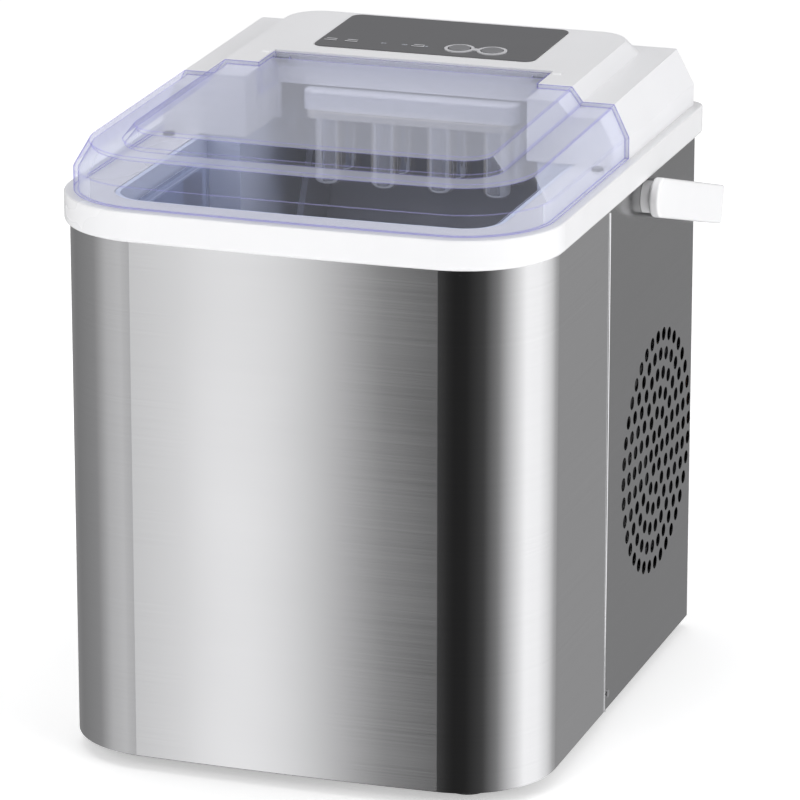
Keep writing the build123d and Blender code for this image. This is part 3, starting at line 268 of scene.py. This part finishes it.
@dataclass(frozen=True)
class BrushedSteel(Finish):
    """Stainless sheet with fine straight lines."""

    grain: Grain = Grain.LEVEL
    roughness: float = 0.15
    streak: float = 0.02
    anisotropy: float = 0.6

    def build(self, board: NodeBoard) -> None:
        """Lines in colour, roughness and height, along the grain.

        Args:
            board: The material's node board.
        """
        shader = board.add("BsdfPrincipled")
        fine = board.noise(board.place(self.grain.value), 1.0, 2.0, 0.6)
        cloud = board.noise(board.place(), 9.0, 2.0)
        tone = board.blend(
            board.ranged(fine, 0.0, 1.0), shade(self.colour, 1 - self.streak), shade(self.colour, 1 + self.streak)
        )
        board.link(tone, shader.inputs["Base Color"])
        rough = board.add("Math", operation="ADD")
        board.link(board.ranged(fine, -0.015, 0.015), rough.inputs[0])
        board.link(board.ranged(cloud, self.roughness - 0.015, self.roughness + 0.015), rough.inputs[1])
        board.link(rough.outputs["Value"], shader.inputs["Roughness"])
        board.link(board.bump(fine, 0.06, 0.00001), shader.inputs["Normal"])
        shader.inputs["Metallic"].default_value = 1.0
        shader.inputs["Anisotropic"].default_value = self.anisotropy
        shader.inputs["Anisotropic Rotation"].default_value = 0.25
        along = board.add("Tangent", direction_type="RADIAL", axis="Z")
        board.link(along.outputs["Tangent"], shader.inputs["Tangent"])
        board.surface(shader.outputs["BSDF"])


@dataclass(frozen=True)
class PlainMetal(Finish):
    """Polished, plated or cast metal with small marks."""

    roughness: float = 0.15
    marks: float = 0.05
    pit: float = 0.0
    pit_scale: float = 900.0
    metallic: float = 1.0

    def build(self, board: NodeBoard) -> None:
        """Cloudy roughness, faint tone change and optional pitting.

        Args:
            board: The material's node board.
        """
        shader = board.add("BsdfPrincipled")
        cloud = board.noise(board.place(), 60.0, 4.0)
        tone = board.blend(
            board.ranged(cloud, 0.0, 1.0), shade(self.colour, 1 - self.marks), shade(self.colour, 1 + self.marks)
        )
        board.link(tone, shader.inputs["Base Color"])
        rough = board.ranged(cloud, self.roughness * 0.8, self.roughness * 1.25)
        board.link(rough, shader.inputs["Roughness"])
        shader.inputs["Metallic"].default_value = self.metallic
        if self.pit > 0:
            grain = board.noise(board.place(), self.pit_scale, 2.0)
            board.link(board.bump(grain, self.pit, 0.00004), shader.inputs["Normal"])
        board.surface(shader.outputs["BSDF"])


@dataclass(frozen=True)
class MouldedPlastic(Finish):
    """Solid plastic with a moulded skin."""

    roughness: float = 0.3
    texture: float = 0.15
    texture_scale: float = 1400.0
    variation: float = 0.015
    coat: float = 0.0
    glow: float = 0.0

    def build(self, board: NodeBoard) -> None:
        """Faint mottle, fine skin and varied gloss.

        Args:
            board: The material's node board.
        """
        shader = board.add("BsdfPrincipled")
        cloud = board.noise(board.place(), 14.0, 3.0)
        skin = board.noise(board.place(), self.texture_scale, 2.0)
        tone = board.blend(
            board.ranged(cloud, 0.0, 1.0),
            shade(self.colour, 1 - self.variation),
            shade(self.colour, 1 + self.variation),
        )
        board.link(tone, shader.inputs["Base Color"])
        board.link(
            board.ranged(cloud, self.roughness * 0.92, self.roughness * 1.1), shader.inputs["Roughness"]
        )
        board.link(board.bump(skin, self.texture, 0.00003), shader.inputs["Normal"])
        shader.inputs["Coat Weight"].default_value = self.coat
        shader.inputs["Coat Roughness"].default_value = 0.08
        shader.inputs["Subsurface Weight"].default_value = self.glow
        shader.inputs["Subsurface Radius"].default_value = (0.004, 0.004, 0.004)
        shader.inputs["Subsurface Scale"].default_value = 1.0
        board.surface(shader.outputs["BSDF"])


@dataclass(frozen=True)
class ClearPlastic(Finish):
    """Thin clear or smoky plastic, tinted where it is seen edge-on."""

    roughness: float = 0.04
    edge: Colour = (0.4, 0.36, 0.8)
    body: float = 0.035
    sheen: float = 0.42
    skin: Colour = (0.84, 0.86, 0.93)
    rim_start: float = 0.76
    line: float = 0.9 * MM
    line_share: float = 0.6

    def build(self, board: NodeBoard) -> None:
        """Tinted see-through body under a glossy skin, with faint flow marks.

        Args:
            board: The material's node board.
        """
        shader = board.add("BsdfPrincipled")
        flow = board.noise(board.place(), 22.0, 2.0)
        lines = self.edge_lines(board)
        board.link(board.blend(lines, self.skin, self.edge), shader.inputs["Base Color"])
        board.link(
            board.ranged(flow, self.roughness * 0.7, self.roughness * 1.4), shader.inputs["Roughness"]
        )
        angle = board.add("LayerWeight")
        angle.inputs["Blend"].default_value = 0.5
        rim = board.add("Math", operation="MAXIMUM")
        board.link(board.ranged(angle.outputs["Facing"], 0.0, 1.0, self.rim_start, 1.0), rim.inputs[0])
        board.link(lines, rim.inputs[1])
        through = board.add("BsdfTransparent")
        board.link(board.blend(rim.outputs["Value"], self.colour, self.edge), through.inputs["Color"])
        gloss = board.add("LayerWeight")
        gloss.inputs["Blend"].default_value = 0.12
        share = board.add("Math", operation="MAXIMUM")
        board.link(board.ranged(gloss.outputs["Fresnel"], self.body, self.sheen, 0.0, 1.0), share.inputs[0])
        board.link(board.ranged(lines, 0.0, self.line_share, 0.0, 1.0), share.inputs[1])
        mix = board.add("MixShader")
        board.link(share.outputs["Value"], mix.inputs["Fac"])
        board.link(through.outputs["BSDF"], mix.inputs[1])
        board.link(shader.outputs["BSDF"], mix.inputs[2])
        board.surface(mix.outputs["Shader"])

    def edge_lines(self, board: NodeBoard) -> bpy.types.NodeSocket:
        """Find the strips along every edge of the plastic.

        Args:
            board: The material's node board.

        Returns:
            A value that is one along the edges.
        """
        rounded = board.add("Bevel", samples=6)
        rounded.inputs["Radius"].default_value = self.line
        true = board.add("NewGeometry")
        dot = board.add("VectorMath", operation="DOT_PRODUCT")
        board.link(rounded.outputs["Normal"], dot.inputs[0])
        board.link(true.outputs["Normal"], dot.inputs[1])
        return board.ranged(dot.outputs["Value"], 1.0, 0.0, 0.93, 0.99)


@dataclass(frozen=True)
class FinStack(Finish):
    """Pressed fin metal with fine louvre lines."""

    pitch: float = 420.0

    def build(self, board: NodeBoard) -> None:
        """Fine waves across the fins.

        Args:
            board: The material's node board.
        """
        shader = board.add("BsdfPrincipled")
        wave = board.add("TexWave", wave_type="BANDS", bands_direction="Z")
        wave.inputs["Scale"].default_value = self.pitch
        wave.inputs["Distortion"].default_value = 0.6
        board.link(board.place(), wave.inputs["Vector"])
        tone = board.blend(wave.outputs["Fac"], shade(self.colour, 0.8), self.colour)
        board.link(tone, shader.inputs["Base Color"])
        board.link(board.ranged(wave.outputs["Fac"], 0.25, 0.4, 0.0, 1.0), shader.inputs["Roughness"])
        board.link(board.bump(wave.outputs["Fac"], 0.4, 0.0002), shader.inputs["Normal"])
        shader.inputs["Metallic"].default_value = 1.0
        board.surface(shader.outputs["BSDF"])


@dataclass(frozen=True)
class BeadFoam(Finish):
    """Foam made of pressed beads."""

    bead: float = 260.0

    def build(self, board: NodeBoard) -> None:
        """Cell pattern with soft joints between the beads.

        Args:
            board: The material's node board.
        """
        shader = board.add("BsdfPrincipled")
        cells = board.add("TexVoronoi", feature="DISTANCE_TO_EDGE")
        cells.inputs["Scale"].default_value = self.bead
        board.link(board.place(), cells.inputs["Vector"])
        edge = board.ranged(cells.outputs["Distance"], 0.0, 1.0, 0.0, 0.12)
        board.link(board.blend(edge, shade(self.colour, 0.72), self.colour), shader.inputs["Base Color"])
        board.link(board.ranged(edge, 0.9, 0.7, 0.0, 1.0), shader.inputs["Roughness"])
        board.link(board.bump(edge, 0.5, 0.0005), shader.inputs["Normal"])
        board.surface(shader.outputs["BSDF"])


@dataclass(frozen=True)
class BoardLacquer(Finish):
    """Lacquered circuit board with tracks."""

    track: Colour = (0.03, 0.2, 0.09)

    def build(self, board: NodeBoard) -> None:
        """Blocky tracks just lighter than the lacquer.

        Args:
            board: The material's node board.
        """
        shader = board.add("BsdfPrincipled")
        tracks = board.add("TexBrick")
        tracks.inputs["Scale"].default_value = 160.0
        tracks.inputs["Color1"].default_value = (*self.colour, 1.0)
        tracks.inputs["Color2"].default_value = (*shade(self.colour, 0.8), 1.0)
        tracks.inputs["Mortar"].default_value = (*self.track, 1.0)
        board.link(board.place(), tracks.inputs["Vector"])
        board.link(tracks.outputs["Color"], shader.inputs["Base Color"])
        board.link(board.ranged(tracks.outputs["Fac"], 0.3, 0.18, 0.0, 1.0), shader.inputs["Roughness"])
        board.link(board.bump(tracks.outputs["Fac"], 0.3, 0.0001), shader.inputs["Normal"])
        board.surface(shader.outputs["BSDF"])


FRONT_STEEL = BrushedSteel("front_steel_brushed", (0.66, 0.66, 0.665))
REAR_STEEL = BrushedSteel("rear_steel_satin", (0.4, 0.4, 0.405), roughness=0.2, streak=0.03)
# Seam folds: the front wrap's steel made paler, a painted highlight along each seam line.
SEAM_HIGHLIGHT_STEEL = BrushedSteel("painted_highlight_seam_steel", (0.82, 0.82, 0.83), roughness=0.16, streak=0.03)
HANDLE_WHITE = MouldedPlastic("handle_moulding", (0.92, 0.92, 0.93), roughness=0.24, texture=0.05)
WHITE = MouldedPlastic("white_moulding", (0.8, 0.8, 0.81), roughness=0.26, texture=0.05, glow=0.05)
COVER = MouldedPlastic("cover_moulding", (0.82, 0.82, 0.835), roughness=0.3, texture=0.05)
TUB = MouldedPlastic("tub_moulding", (0.7, 0.75, 0.88), roughness=0.3, texture=0.08)
TRAY = MouldedPlastic("tray_moulding", (0.2, 0.21, 0.26), roughness=0.25, texture=0.05)
GREY = MouldedPlastic("dark_grey_moulding", (0.035, 0.035, 0.038), roughness=0.45, texture=0.4)
BLACK_FAN = MouldedPlastic("fan_moulding", (0.015, 0.015, 0.017), roughness=0.35, texture=0.2)
PANEL = MouldedPlastic("panel_film", (0.112, 0.112, 0.118), roughness=0.34, texture=0.25, texture_scale=2600.0)
PANEL_PALE = MouldedPlastic("panel_print", (0.55, 0.55, 0.57), roughness=0.4, texture=0.1)
BUTTON = MouldedPlastic("button_cap", (0.19, 0.19, 0.2), roughness=0.38, texture=0.3)
SENSOR = MouldedPlastic("sensor_window", (0.03, 0.015, 0.03), roughness=0.12, texture=0.02, coat=0.6)
RUBBER = MouldedPlastic("black_rubber", (0.012, 0.012, 0.012), roughness=0.75, texture=0.6)
SILICONE = MouldedPlastic("milky_silicone", (0.6, 0.6, 0.58), roughness=0.42, texture=0.1, glow=0.3)
LID = ClearPlastic("lid_clear_violet", (0.95, 0.955, 0.985), edge=(0.42, 0.39, 0.84))
BASKET = ClearPlastic(
    "basket_smoky", (0.8, 0.84, 0.92), roughness=0.1, edge=(0.75, 0.78, 0.86), body=0.13, skin=(0.6, 0.64, 0.8)
)
LENS = ClearPlastic("lamp_lens", (0.9, 0.92, 0.95), roughness=0.2, edge=(0.7, 0.72, 0.75))
CHROME = PlainMetal("finger_bright", (0.93, 0.89, 0.8), roughness=0.14, marks=0.03, metallic=0.75)
CAP = MouldedPlastic("cap_moulding", (0.88, 0.89, 0.92), roughness=0.3, texture=0.05)
PINS = PlainMetal("pin_steel", (0.62, 0.62, 0.63), roughness=0.2)
SCREW = PlainMetal("black_oxide", (0.03, 0.03, 0.032), roughness=0.35, metallic=1.0)
ZINC = PlainMetal("zinc_plate", (0.55, 0.55, 0.52), roughness=0.32, marks=0.1, pit=0.2)
PLATE = PlainMetal(
    "cold_plate", (0.95, 0.9, 0.78), roughness=0.22, marks=0.06, pit=0.25, pit_scale=500.0, metallic=0.5
)
SHELL = PlainMetal("compressor_paint", (0.01, 0.01, 0.01), roughness=0.22, metallic=0.0, pit=0.25)
COPPER = PlainMetal("copper_tube", (0.72, 0.33, 0.18), roughness=0.25, marks=0.15)
BRASS = PlainMetal("brass_valve", (0.7, 0.5, 0.2), roughness=0.28, marks=0.1)
FINS = FinStack("fin_sheet", (0.6, 0.61, 0.62))
FOAM = BeadFoam("white_foam", (0.82, 0.82, 0.79))
CIRCUIT = BoardLacquer("circuit_lacquer", (0.01, 0.11, 0.04))


# ---------------------------------------------------------------- shaping helpers


def dress(node: str, finish: Finish) -> bpy.types.Object:
    """Give a carried node its finish.

    Args:
        node: Name of the node.
        finish: The finish.

    Returns:
        The node's object.
    """
    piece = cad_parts[node]
    for slot in piece.material_slots:
        slot.material = finish.material()
    return piece


def soften(
    piece: bpy.types.Object, width: float, segments: int = 2, angle: float = 35.0
) -> None:
    """Round a piece's sharp edges.

    Args:
        piece: The object.
        width: Width of the rounding, in metres.
        segments: Steps across it.
        angle: Least angle of an edge that is rounded, in degrees.
    """
    bevel = piece.modifiers.new("soft_edges", "BEVEL")
    bevel.width = width
    bevel.segments = segments
    bevel.limit_method = "ANGLE"
    bevel.angle_limit = math.radians(angle)
    bevel.harden_normals = False


def add_piece(
    name: str, mesh: bmesh.types.BMesh, body: Body, finish: Finish, smooth: bool = True
) -> bpy.types.Object:
    """Turn a mesh under construction into a piece that rides a body.

    Args:
        name: Name of the piece.
        mesh: The mesh; it is freed here.
        body: Body that the piece moves with.
        finish: Its finish.
        smooth: Whether its faces are shaded smooth.

    Returns:
        The new object.
    """
    bmesh.ops.recalc_face_normals(mesh, faces=mesh.faces)
    data = bpy.data.meshes.new(name)
    mesh.to_mesh(data)
    mesh.free()
    for polygon in data.polygons:
        polygon.use_smooth = smooth
    data.materials.append(finish.material())
    piece = bpy.data.objects.new(name, data)
    bpy.context.scene.collection.objects.link(piece)
    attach(piece, body.value)
    return piece


def lathe(profile: list[tuple[float, float]], place: Matrix, steps: int = 48) -> bmesh.types.BMesh:
    """Turn a profile about the local Z axis.

    Args:
        profile: Radius and height of each point; a radius of zero closes an end.
        place: Where the result goes.
        steps: Steps round the turn.

    Returns:
        The mesh.
    """
    mesh = bmesh.new()
    add_lathe(mesh, profile, place, steps)
    return mesh


def add_lathe(
    mesh: bmesh.types.BMesh, profile: list[tuple[float, float]], place: Matrix, steps: int = 48
) -> None:
    """Add a turned shape to a mesh.

    Args:
        mesh: The mesh.
        profile: Radius and height of each point; a radius of zero closes an end.
        place: Where the shape goes.
        steps: Steps round the turn.
    """
    rings = []
    for radius, height in profile:
        if radius <= 0:
            rings.append([mesh.verts.new(place @ Vector((0.0, 0.0, height)))])
            continue
        ring = []
        for index in range(steps):
            turn = 2 * math.pi * index / steps
            spot = Vector((radius * math.cos(turn), radius * math.sin(turn), height))
            ring.append(mesh.verts.new(place @ spot))
        rings.append(ring)
    for low, high in zip(rings, rings[1:]):
        for index in range(steps):
            after = (index + 1) % steps
            if len(low) == 1 and len(high) == 1:
                break
            if len(low) == 1:
                mesh.faces.new((low[0], high[index], high[after]))
            elif len(high) == 1:
                mesh.faces.new((low[index], low[after], high[0]))
            else:
                mesh.faces.new((low[index], low[after], high[after], high[index]))


def add_block(mesh: bmesh.types.BMesh, low: Vector, high: Vector, place: Matrix | None = None) -> None:
    """Add an upright block to a mesh.

    Args:
        mesh: The mesh.
        low: Lowest corner.
        high: Highest corner.
        place: Optional turn and shift of the block.
    """
    size = high - low
    middle = Matrix.Translation((low + high) / 2) @ Matrix.Diagonal((*size, 1.0))
    made = bmesh.ops.create_cube(mesh, size=1.0, matrix=(place or Matrix()) @ middle)
    edges = {edge for vert in made["verts"] for edge in vert.link_edges}
    width = min(size) * 0.18
    bmesh.ops.bevel(mesh, geom=list(edges), offset=width, segments=2, affect="EDGES", profile=0.6)


# ---------------------------------------------------------------- sub-assemblies


@dataclass
class Casing:
    """Steel wraps, base, top frame, feet and screws."""

    seam_width: float = 1.5 * MM
    seam_proud: float = 0.45 * MM
    edge_round: float = 0.35 * MM

    def dress_shells(self) -> None:
        """Finish the carried shells."""
        dress("front_wrap", FRONT_STEEL)
        dress("rear_wrap", REAR_STEEL)
        dress("base_tray", GREY)
        soften(dress("top_frame", WHITE), self.edge_round)
        dress("rubber_feet", RUBBER)
        dress("cord_gland", GREY)
        dress("insulation_foam", FOAM)
        dress("handle_pivot_pins", PINS)
        soften(dress("handle_hubs", WHITE), self.edge_round)

    def fold_seams(self) -> None:
        """Fold the front wrap's upright edges over the rear wrap on both sides; the folds are the front steel
        made paler, a painted highlight along each seam.
        """
        low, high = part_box("front_wrap")
        mesh = bmesh.new()
        for side in (-1, 1):
            face = high.x if side > 0 else low.x
            centre = Vector((face - side * self.seam_proud * 0.4, high.y - self.seam_width / 2, 0.0))
            self.add_fold(mesh, centre, side, low.z, high.z - 8 * MM)
        add_piece("seam_folds", mesh, Body.CASING, SEAM_HIGHLIGHT_STEEL)

    def add_fold(
        self, mesh: bmesh.types.BMesh, centre: Vector, side: int, low: float, high: float
    ) -> None:
        """Add one half-round fold.

        Args:
            mesh: Mesh that takes the fold.
            centre: Middle of the fold in plan.
            side: 1 on the right, -1 on the left.
            low: Lower end.
            high: Upper end.
        """
        rows = []
        for z in (low, high):
            row = []
            for index in range(9):
                turn = math.pi * index / 8
                out = side * self.seam_proud * 1.4 * math.sin(turn)
                along = self.seam_width / 2 * math.cos(turn)
                row.append(mesh.verts.new((centre.x + out, centre.y + along, z)))
            rows.append(row)
        for index in range(8):
            mesh.faces.new((rows[0][index], rows[0][index + 1], rows[1][index + 1], rows[1][index]))
        mesh.faces.new((rows[0][8], rows[0][0], rows[1][0], rows[1][8]))
        mesh.faces.new(rows[0][::-1])
        mesh.faces.new(rows[1])

    def build(self) -> None:
        """Build and dress the casing."""
        self.dress_shells()
        self.fold_seams()
        dress("case_screws", PINS)
        dress("frame_screws", SCREW)


@dataclass
class TopCover:
    """Rear cover with its control panel and buttons."""

    edge_round: float = 0.45 * MM
    mark_depth: float = 0.9 * MM
    mark_height: float = 0.12 * MM
    mark_sunk: float = 0.05 * MM
    mark_rows: tuple[float, ...] = (-1.3 * MM, 1.3 * MM)
    mark_lengths: tuple[float, ...] = (6.0 * MM, 5.0 * MM)
    mark_gaps: tuple[float, ...] = (13.0 * MM, 45.0 * MM, 55.0 * MM)

    def panel_marks(self) -> None:
        """Print pairs of plain dashes on the sloping panel, left of the buttons."""
        _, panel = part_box("control_overlay")
        lamps_low, lamps_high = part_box("indicator_leds")
        low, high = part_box("power_button")
        lamps_middle = (lamps_low.y + lamps_high.y) / 2
        slope = (panel.z - lamps_high.z) / (panel.y - lamps_middle)
        mesh = bmesh.new()
        for gap in self.mark_gaps:
            for row, length in zip(self.mark_rows, self.mark_lengths):
                x = low.x - gap
                y = (low.y + high.y) / 2 + row
                level = lamps_high.z + slope * (y - lamps_middle) - self.mark_sunk
                start = Vector((x - length / 2, y - self.mark_depth / 2, level))
                end = Vector((x + length / 2, y + self.mark_depth / 2, level + self.mark_height))
                add_block(mesh, start, end)
        add_piece("panel_marks", mesh, Body.CASING, PANEL_PALE, smooth=False)

    def build(self) -> None:
        """Build and dress the cover and its controls."""
        soften(dress("rear_top_cover", COVER), self.edge_round)
        dress("control_overlay", PANEL)
        dress("button_bezel", PANEL_PALE)
        dress("power_button", BUTTON)
        dress("select_button", BUTTON)
        dress("indicator_leds", LENS)
        dress("control_board", CIRCUIT)
        self.panel_marks()


@dataclass
class Lid:
    """Clear lid and its pins."""

    edge_round: float = 0.3 * MM

    def build(self) -> None:
        """Dress the lid."""
        soften(dress("clear_lid", LID), self.edge_round)
        dress("lid_hinge_pins", LENS)


@dataclass
class Handle:
    """Swing-up handle."""

    def build(self) -> None:
        """Dress the handle."""
        dress("carry_handle", HANDLE_WHITE)


@dataclass
class IceCompartment:
    """Tub, basket and sensors."""

    edge_round: float = 0.4 * MM

    def build(self) -> None:
        """Dress the compartment."""
        dress("inner_tub", TUB)
        soften(dress("ice_basket", BASKET), self.edge_round)
        dress("ice_full_sensors", SENSOR)
        dress("level_sensor", SENSOR)


@dataclass
class FreezingHead:
    """Cold plate, fingers, coil, cap, tray and its drive."""

    def build(self) -> None:
        """Dress the freezing parts."""
        dress("evaporator_plate", PLATE)
        dress("evaporator_fingers", CHROME)
        dress("evaporator_coil", COPPER)
        dress("evaporator_cap", CAP)
        dress("water_tray", TRAY)
        dress("ice_pusher", TRAY)
        dress("tray_pins", PINS)
        dress("tray_bushings", WHITE)
        dress("tray_motor", GREY)


@dataclass
class CoolingSystem:
    """Compressor, condenser, fan, pipes, pump and drain."""

    finishes: dict[str, Finish] = field(
        default_factory=lambda: {
            "compressor": SHELL,
            "compressor_plate": ZINC,
            "compressor_mounts": RUBBER,
            "relay_cover": GREY,
            "condenser_fins": FINS,
            "condenser_tube": COPPER,
            "fan_shroud": GREY,
            "fan_blade": BLACK_FAN,
            "fan_shaft": PINS,
            "fan_motor": ZINC,
            "discharge_pipe": COPPER,
            "suction_pipe": COPPER,
            "filter_drier": COPPER,
            "hot_gas_valve": BRASS,
            "water_pump": GREY,
            "pump_hose": SILICONE,
            "drain_spout": GREY,
            "drain_cap": GREY,
            "drain_seal": SILICONE,
        }
    )

    def build(self) -> None:
        """Dress every piece of the cooling and water system."""
        for node, finish in self.finishes.items():
            dress(node, finish)


# ---------------------------------------------------------------- studio


@dataclass
class Studio:
    """Floor, lights, surroundings and camera."""

    azimuth: float = 18.6
    elevation: float = 17.1
    distance: float = 2.4
    lens: float = 239.6
    aim_height: float = 0.139
    aim_right: float = 0.0083
    bands: tuple[tuple[float, float], ...] = (
        (-180.0, 0.3), (-120.0, 0.25), (-78.0, 0.34), (-58.0, 0.62), (-38.0, 0.72), (-27.0, 0.56),
        (-24.5, 0.82), (-22.6, 1.32), (-20.0, 1.22), (-18.0, 0.74), (-17.0, 0.36), (-16.0, 0.16),
        (-15.2, 0.085), (-11.0, 0.07), (-4.0, 0.035), (6.0, 0.022), (20.0, 0.025), (41.0, 0.07), (58.0, 0.27), (76.0, 0.8),
        (96.0, 1.35), (118.0, 1.3), (138.0, 0.95), (156.0, 0.46), (164.0, 0.33), (180.0, 0.3),
    )

    def surroundings(self) -> None:
        """Soft upright light and dark bands all round, white behind the object."""
        world = bpy.data.worlds.new("studio")
        world.use_nodes = True
        bpy.context.scene.world = world
        board = NodeBoard(world.node_tree)
        where = board.add("TexCoord")
        split = board.add("SeparateXYZ")
        board.link(where.outputs["Generated"], split.inputs["Vector"])
        back = board.add("Math", operation="MULTIPLY")
        back.inputs[1].default_value = -1.0
        board.link(split.outputs["Y"], back.inputs[0])
        turn = board.add("Math", operation="ARCTAN2")
        board.link(split.outputs["X"], turn.inputs[0])
        board.link(back.outputs["Value"], turn.inputs[1])
        share = board.ranged(turn.outputs["Value"], 0.0, 1.0, -math.pi, math.pi)
        ramp = board.add("ValToRGB")
        ramp.color_ramp.interpolation = "LINEAR"
        brightest = max(level for _, level in self.bands)
        stops = ramp.color_ramp.elements
        while len(stops) < len(self.bands):
            stops.new(0.5)
        for stop, (angle, level) in zip(stops, self.bands):
            stop.position = (angle + 180.0) / 360.0
            stop.color = (level / brightest, level / brightest, level / brightest * 1.01, 1.0)
        board.link(share, ramp.inputs["Fac"])
        bands = board.add("Background")
        bands.inputs["Strength"].default_value = brightest
        board.link(ramp.outputs["Color"], bands.inputs["Color"])
        white = board.add("Background")
        white.inputs["Strength"].default_value = 1.0
        path = board.add("LightPath")
        mix = board.add("MixShader")
        board.link(path.outputs["Is Camera Ray"], mix.inputs["Fac"])
        board.link(bands.outputs["Background"], mix.inputs[1])
        board.link(white.outputs["Background"], mix.inputs[2])
        out = board.add("OutputWorld")
        board.link(mix.outputs["Shader"], out.inputs["Surface"])

    def floor(self) -> None:
        """Pale floor that takes a soft shadow and stays out of reflections."""
        mesh = bmesh.new()
        bmesh.ops.create_grid(mesh, x_segments=8, y_segments=8, size=6.0)
        data = bpy.data.meshes.new("floor")
        mesh.to_mesh(data)
        mesh.free()
        ground = bpy.data.objects.new("floor", data)
        bpy.context.scene.collection.objects.link(ground)
        made = bpy.data.materials.new("floor_paper")
        made.use_nodes = True
        board = NodeBoard(made.node_tree)
        shader = board.add("BsdfPrincipled")
        shader.inputs["Base Color"].default_value = (0.9, 0.9, 0.9, 1.0)
        shader.inputs["Roughness"].default_value = 0.9
        shader.inputs["Specular IOR Level"].default_value = 0.1
        shader.inputs["Emission Color"].default_value = (1.0, 1.0, 1.0, 1.0)
        shader.inputs["Emission Strength"].default_value = 0.42
        board.surface(shader.outputs["BSDF"])
        data.materials.append(made)
        ground.visible_glossy = False

    def lamp(self, name: str, spot: Vector, aim: Vector, size: float, power: float) -> None:
        """Add a soft square lamp that glossy surfaces don't mirror.

        Args:
            name: Name of the lamp.
            spot: Where it hangs.
            aim: What it points at.
            size: Side of the square.
            power: Power in watts.
        """
        data = bpy.data.lights.new(name, "AREA")
        data.shape = "SQUARE"
        data.size = size
        data.energy = power
        light = bpy.data.objects.new(name, data)
        light.location = spot
        light.rotation_euler = (aim - spot).to_track_quat("-Z", "Y").to_euler()
        light.visible_glossy = False
        bpy.context.scene.collection.objects.link(light)

    def lamps(self) -> None:
        """Broad top light, front fill and a weaker fill from the right."""
        aim = Vector((0.0, 0.0, 0.2))
        self.lamp("top_light", Vector((-0.3, 0.2, 1.6)), aim, 1.4, 9.0)
        self.lamp("front_fill", Vector((-0.5, -1.8, 0.9)), aim, 1.2, 13.0)
        self.lamp("right_fill", Vector((1.6, -0.8, 0.7)), aim, 1.0, 10.5)

    def camera(self) -> None:
        """Long lens, slightly above and to the right of the front."""
        front_low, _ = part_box("front_wrap")
        _, rear_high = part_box("rear_wrap")
        turn = math.radians(self.azimuth)
        rise = math.radians(self.elevation)
        right = Vector((math.cos(turn), math.sin(turn), 0.0))
        back = Vector((math.sin(turn) * math.cos(rise), -math.cos(turn) * math.cos(rise), math.sin(rise)))
        aim = Vector((0.0, (front_low.y + rear_high.y) / 2, self.aim_height)) + right * self.aim_right
        data = bpy.data.cameras.new("camera")
        data.lens = self.lens
        data.sensor_width = 36.0
        data.clip_end = 50.0
        eye = bpy.data.objects.new("camera", data)
        eye.location = aim + back * self.distance
        eye.rotation_euler = (-back).to_track_quat("-Z", "Y").to_euler()
        bpy.context.scene.collection.objects.link(eye)
        bpy.context.scene.camera = eye

    def build(self) -> None:
        """Set up the whole studio."""
        bpy.context.scene.view_settings.view_transform = "Standard"
        bpy.context.scene.view_settings.look = "None"
        self.camera()
        self.surroundings()
        self.floor()
        self.lamps()


def main() -> None:
    """Build the studio and every sub-assembly, in order."""
    logging.basicConfig(level=logging.INFO, format="%(name)s: %(message)s")
    assemblies = {
        "studio": Studio(),
        "casing": Casing(),
        "top cover": TopCover(),
        "lid": Lid(),
        "handle": Handle(),
        "ice compartment": IceCompartment(),
        "freezing head": FreezingHead(),
        "cooling system": CoolingSystem(),
    }
    for name, assembly in assemblies.items():
        assembly.build()
        log.info("built %s", name)


if __name__ == "__main__":
    main()
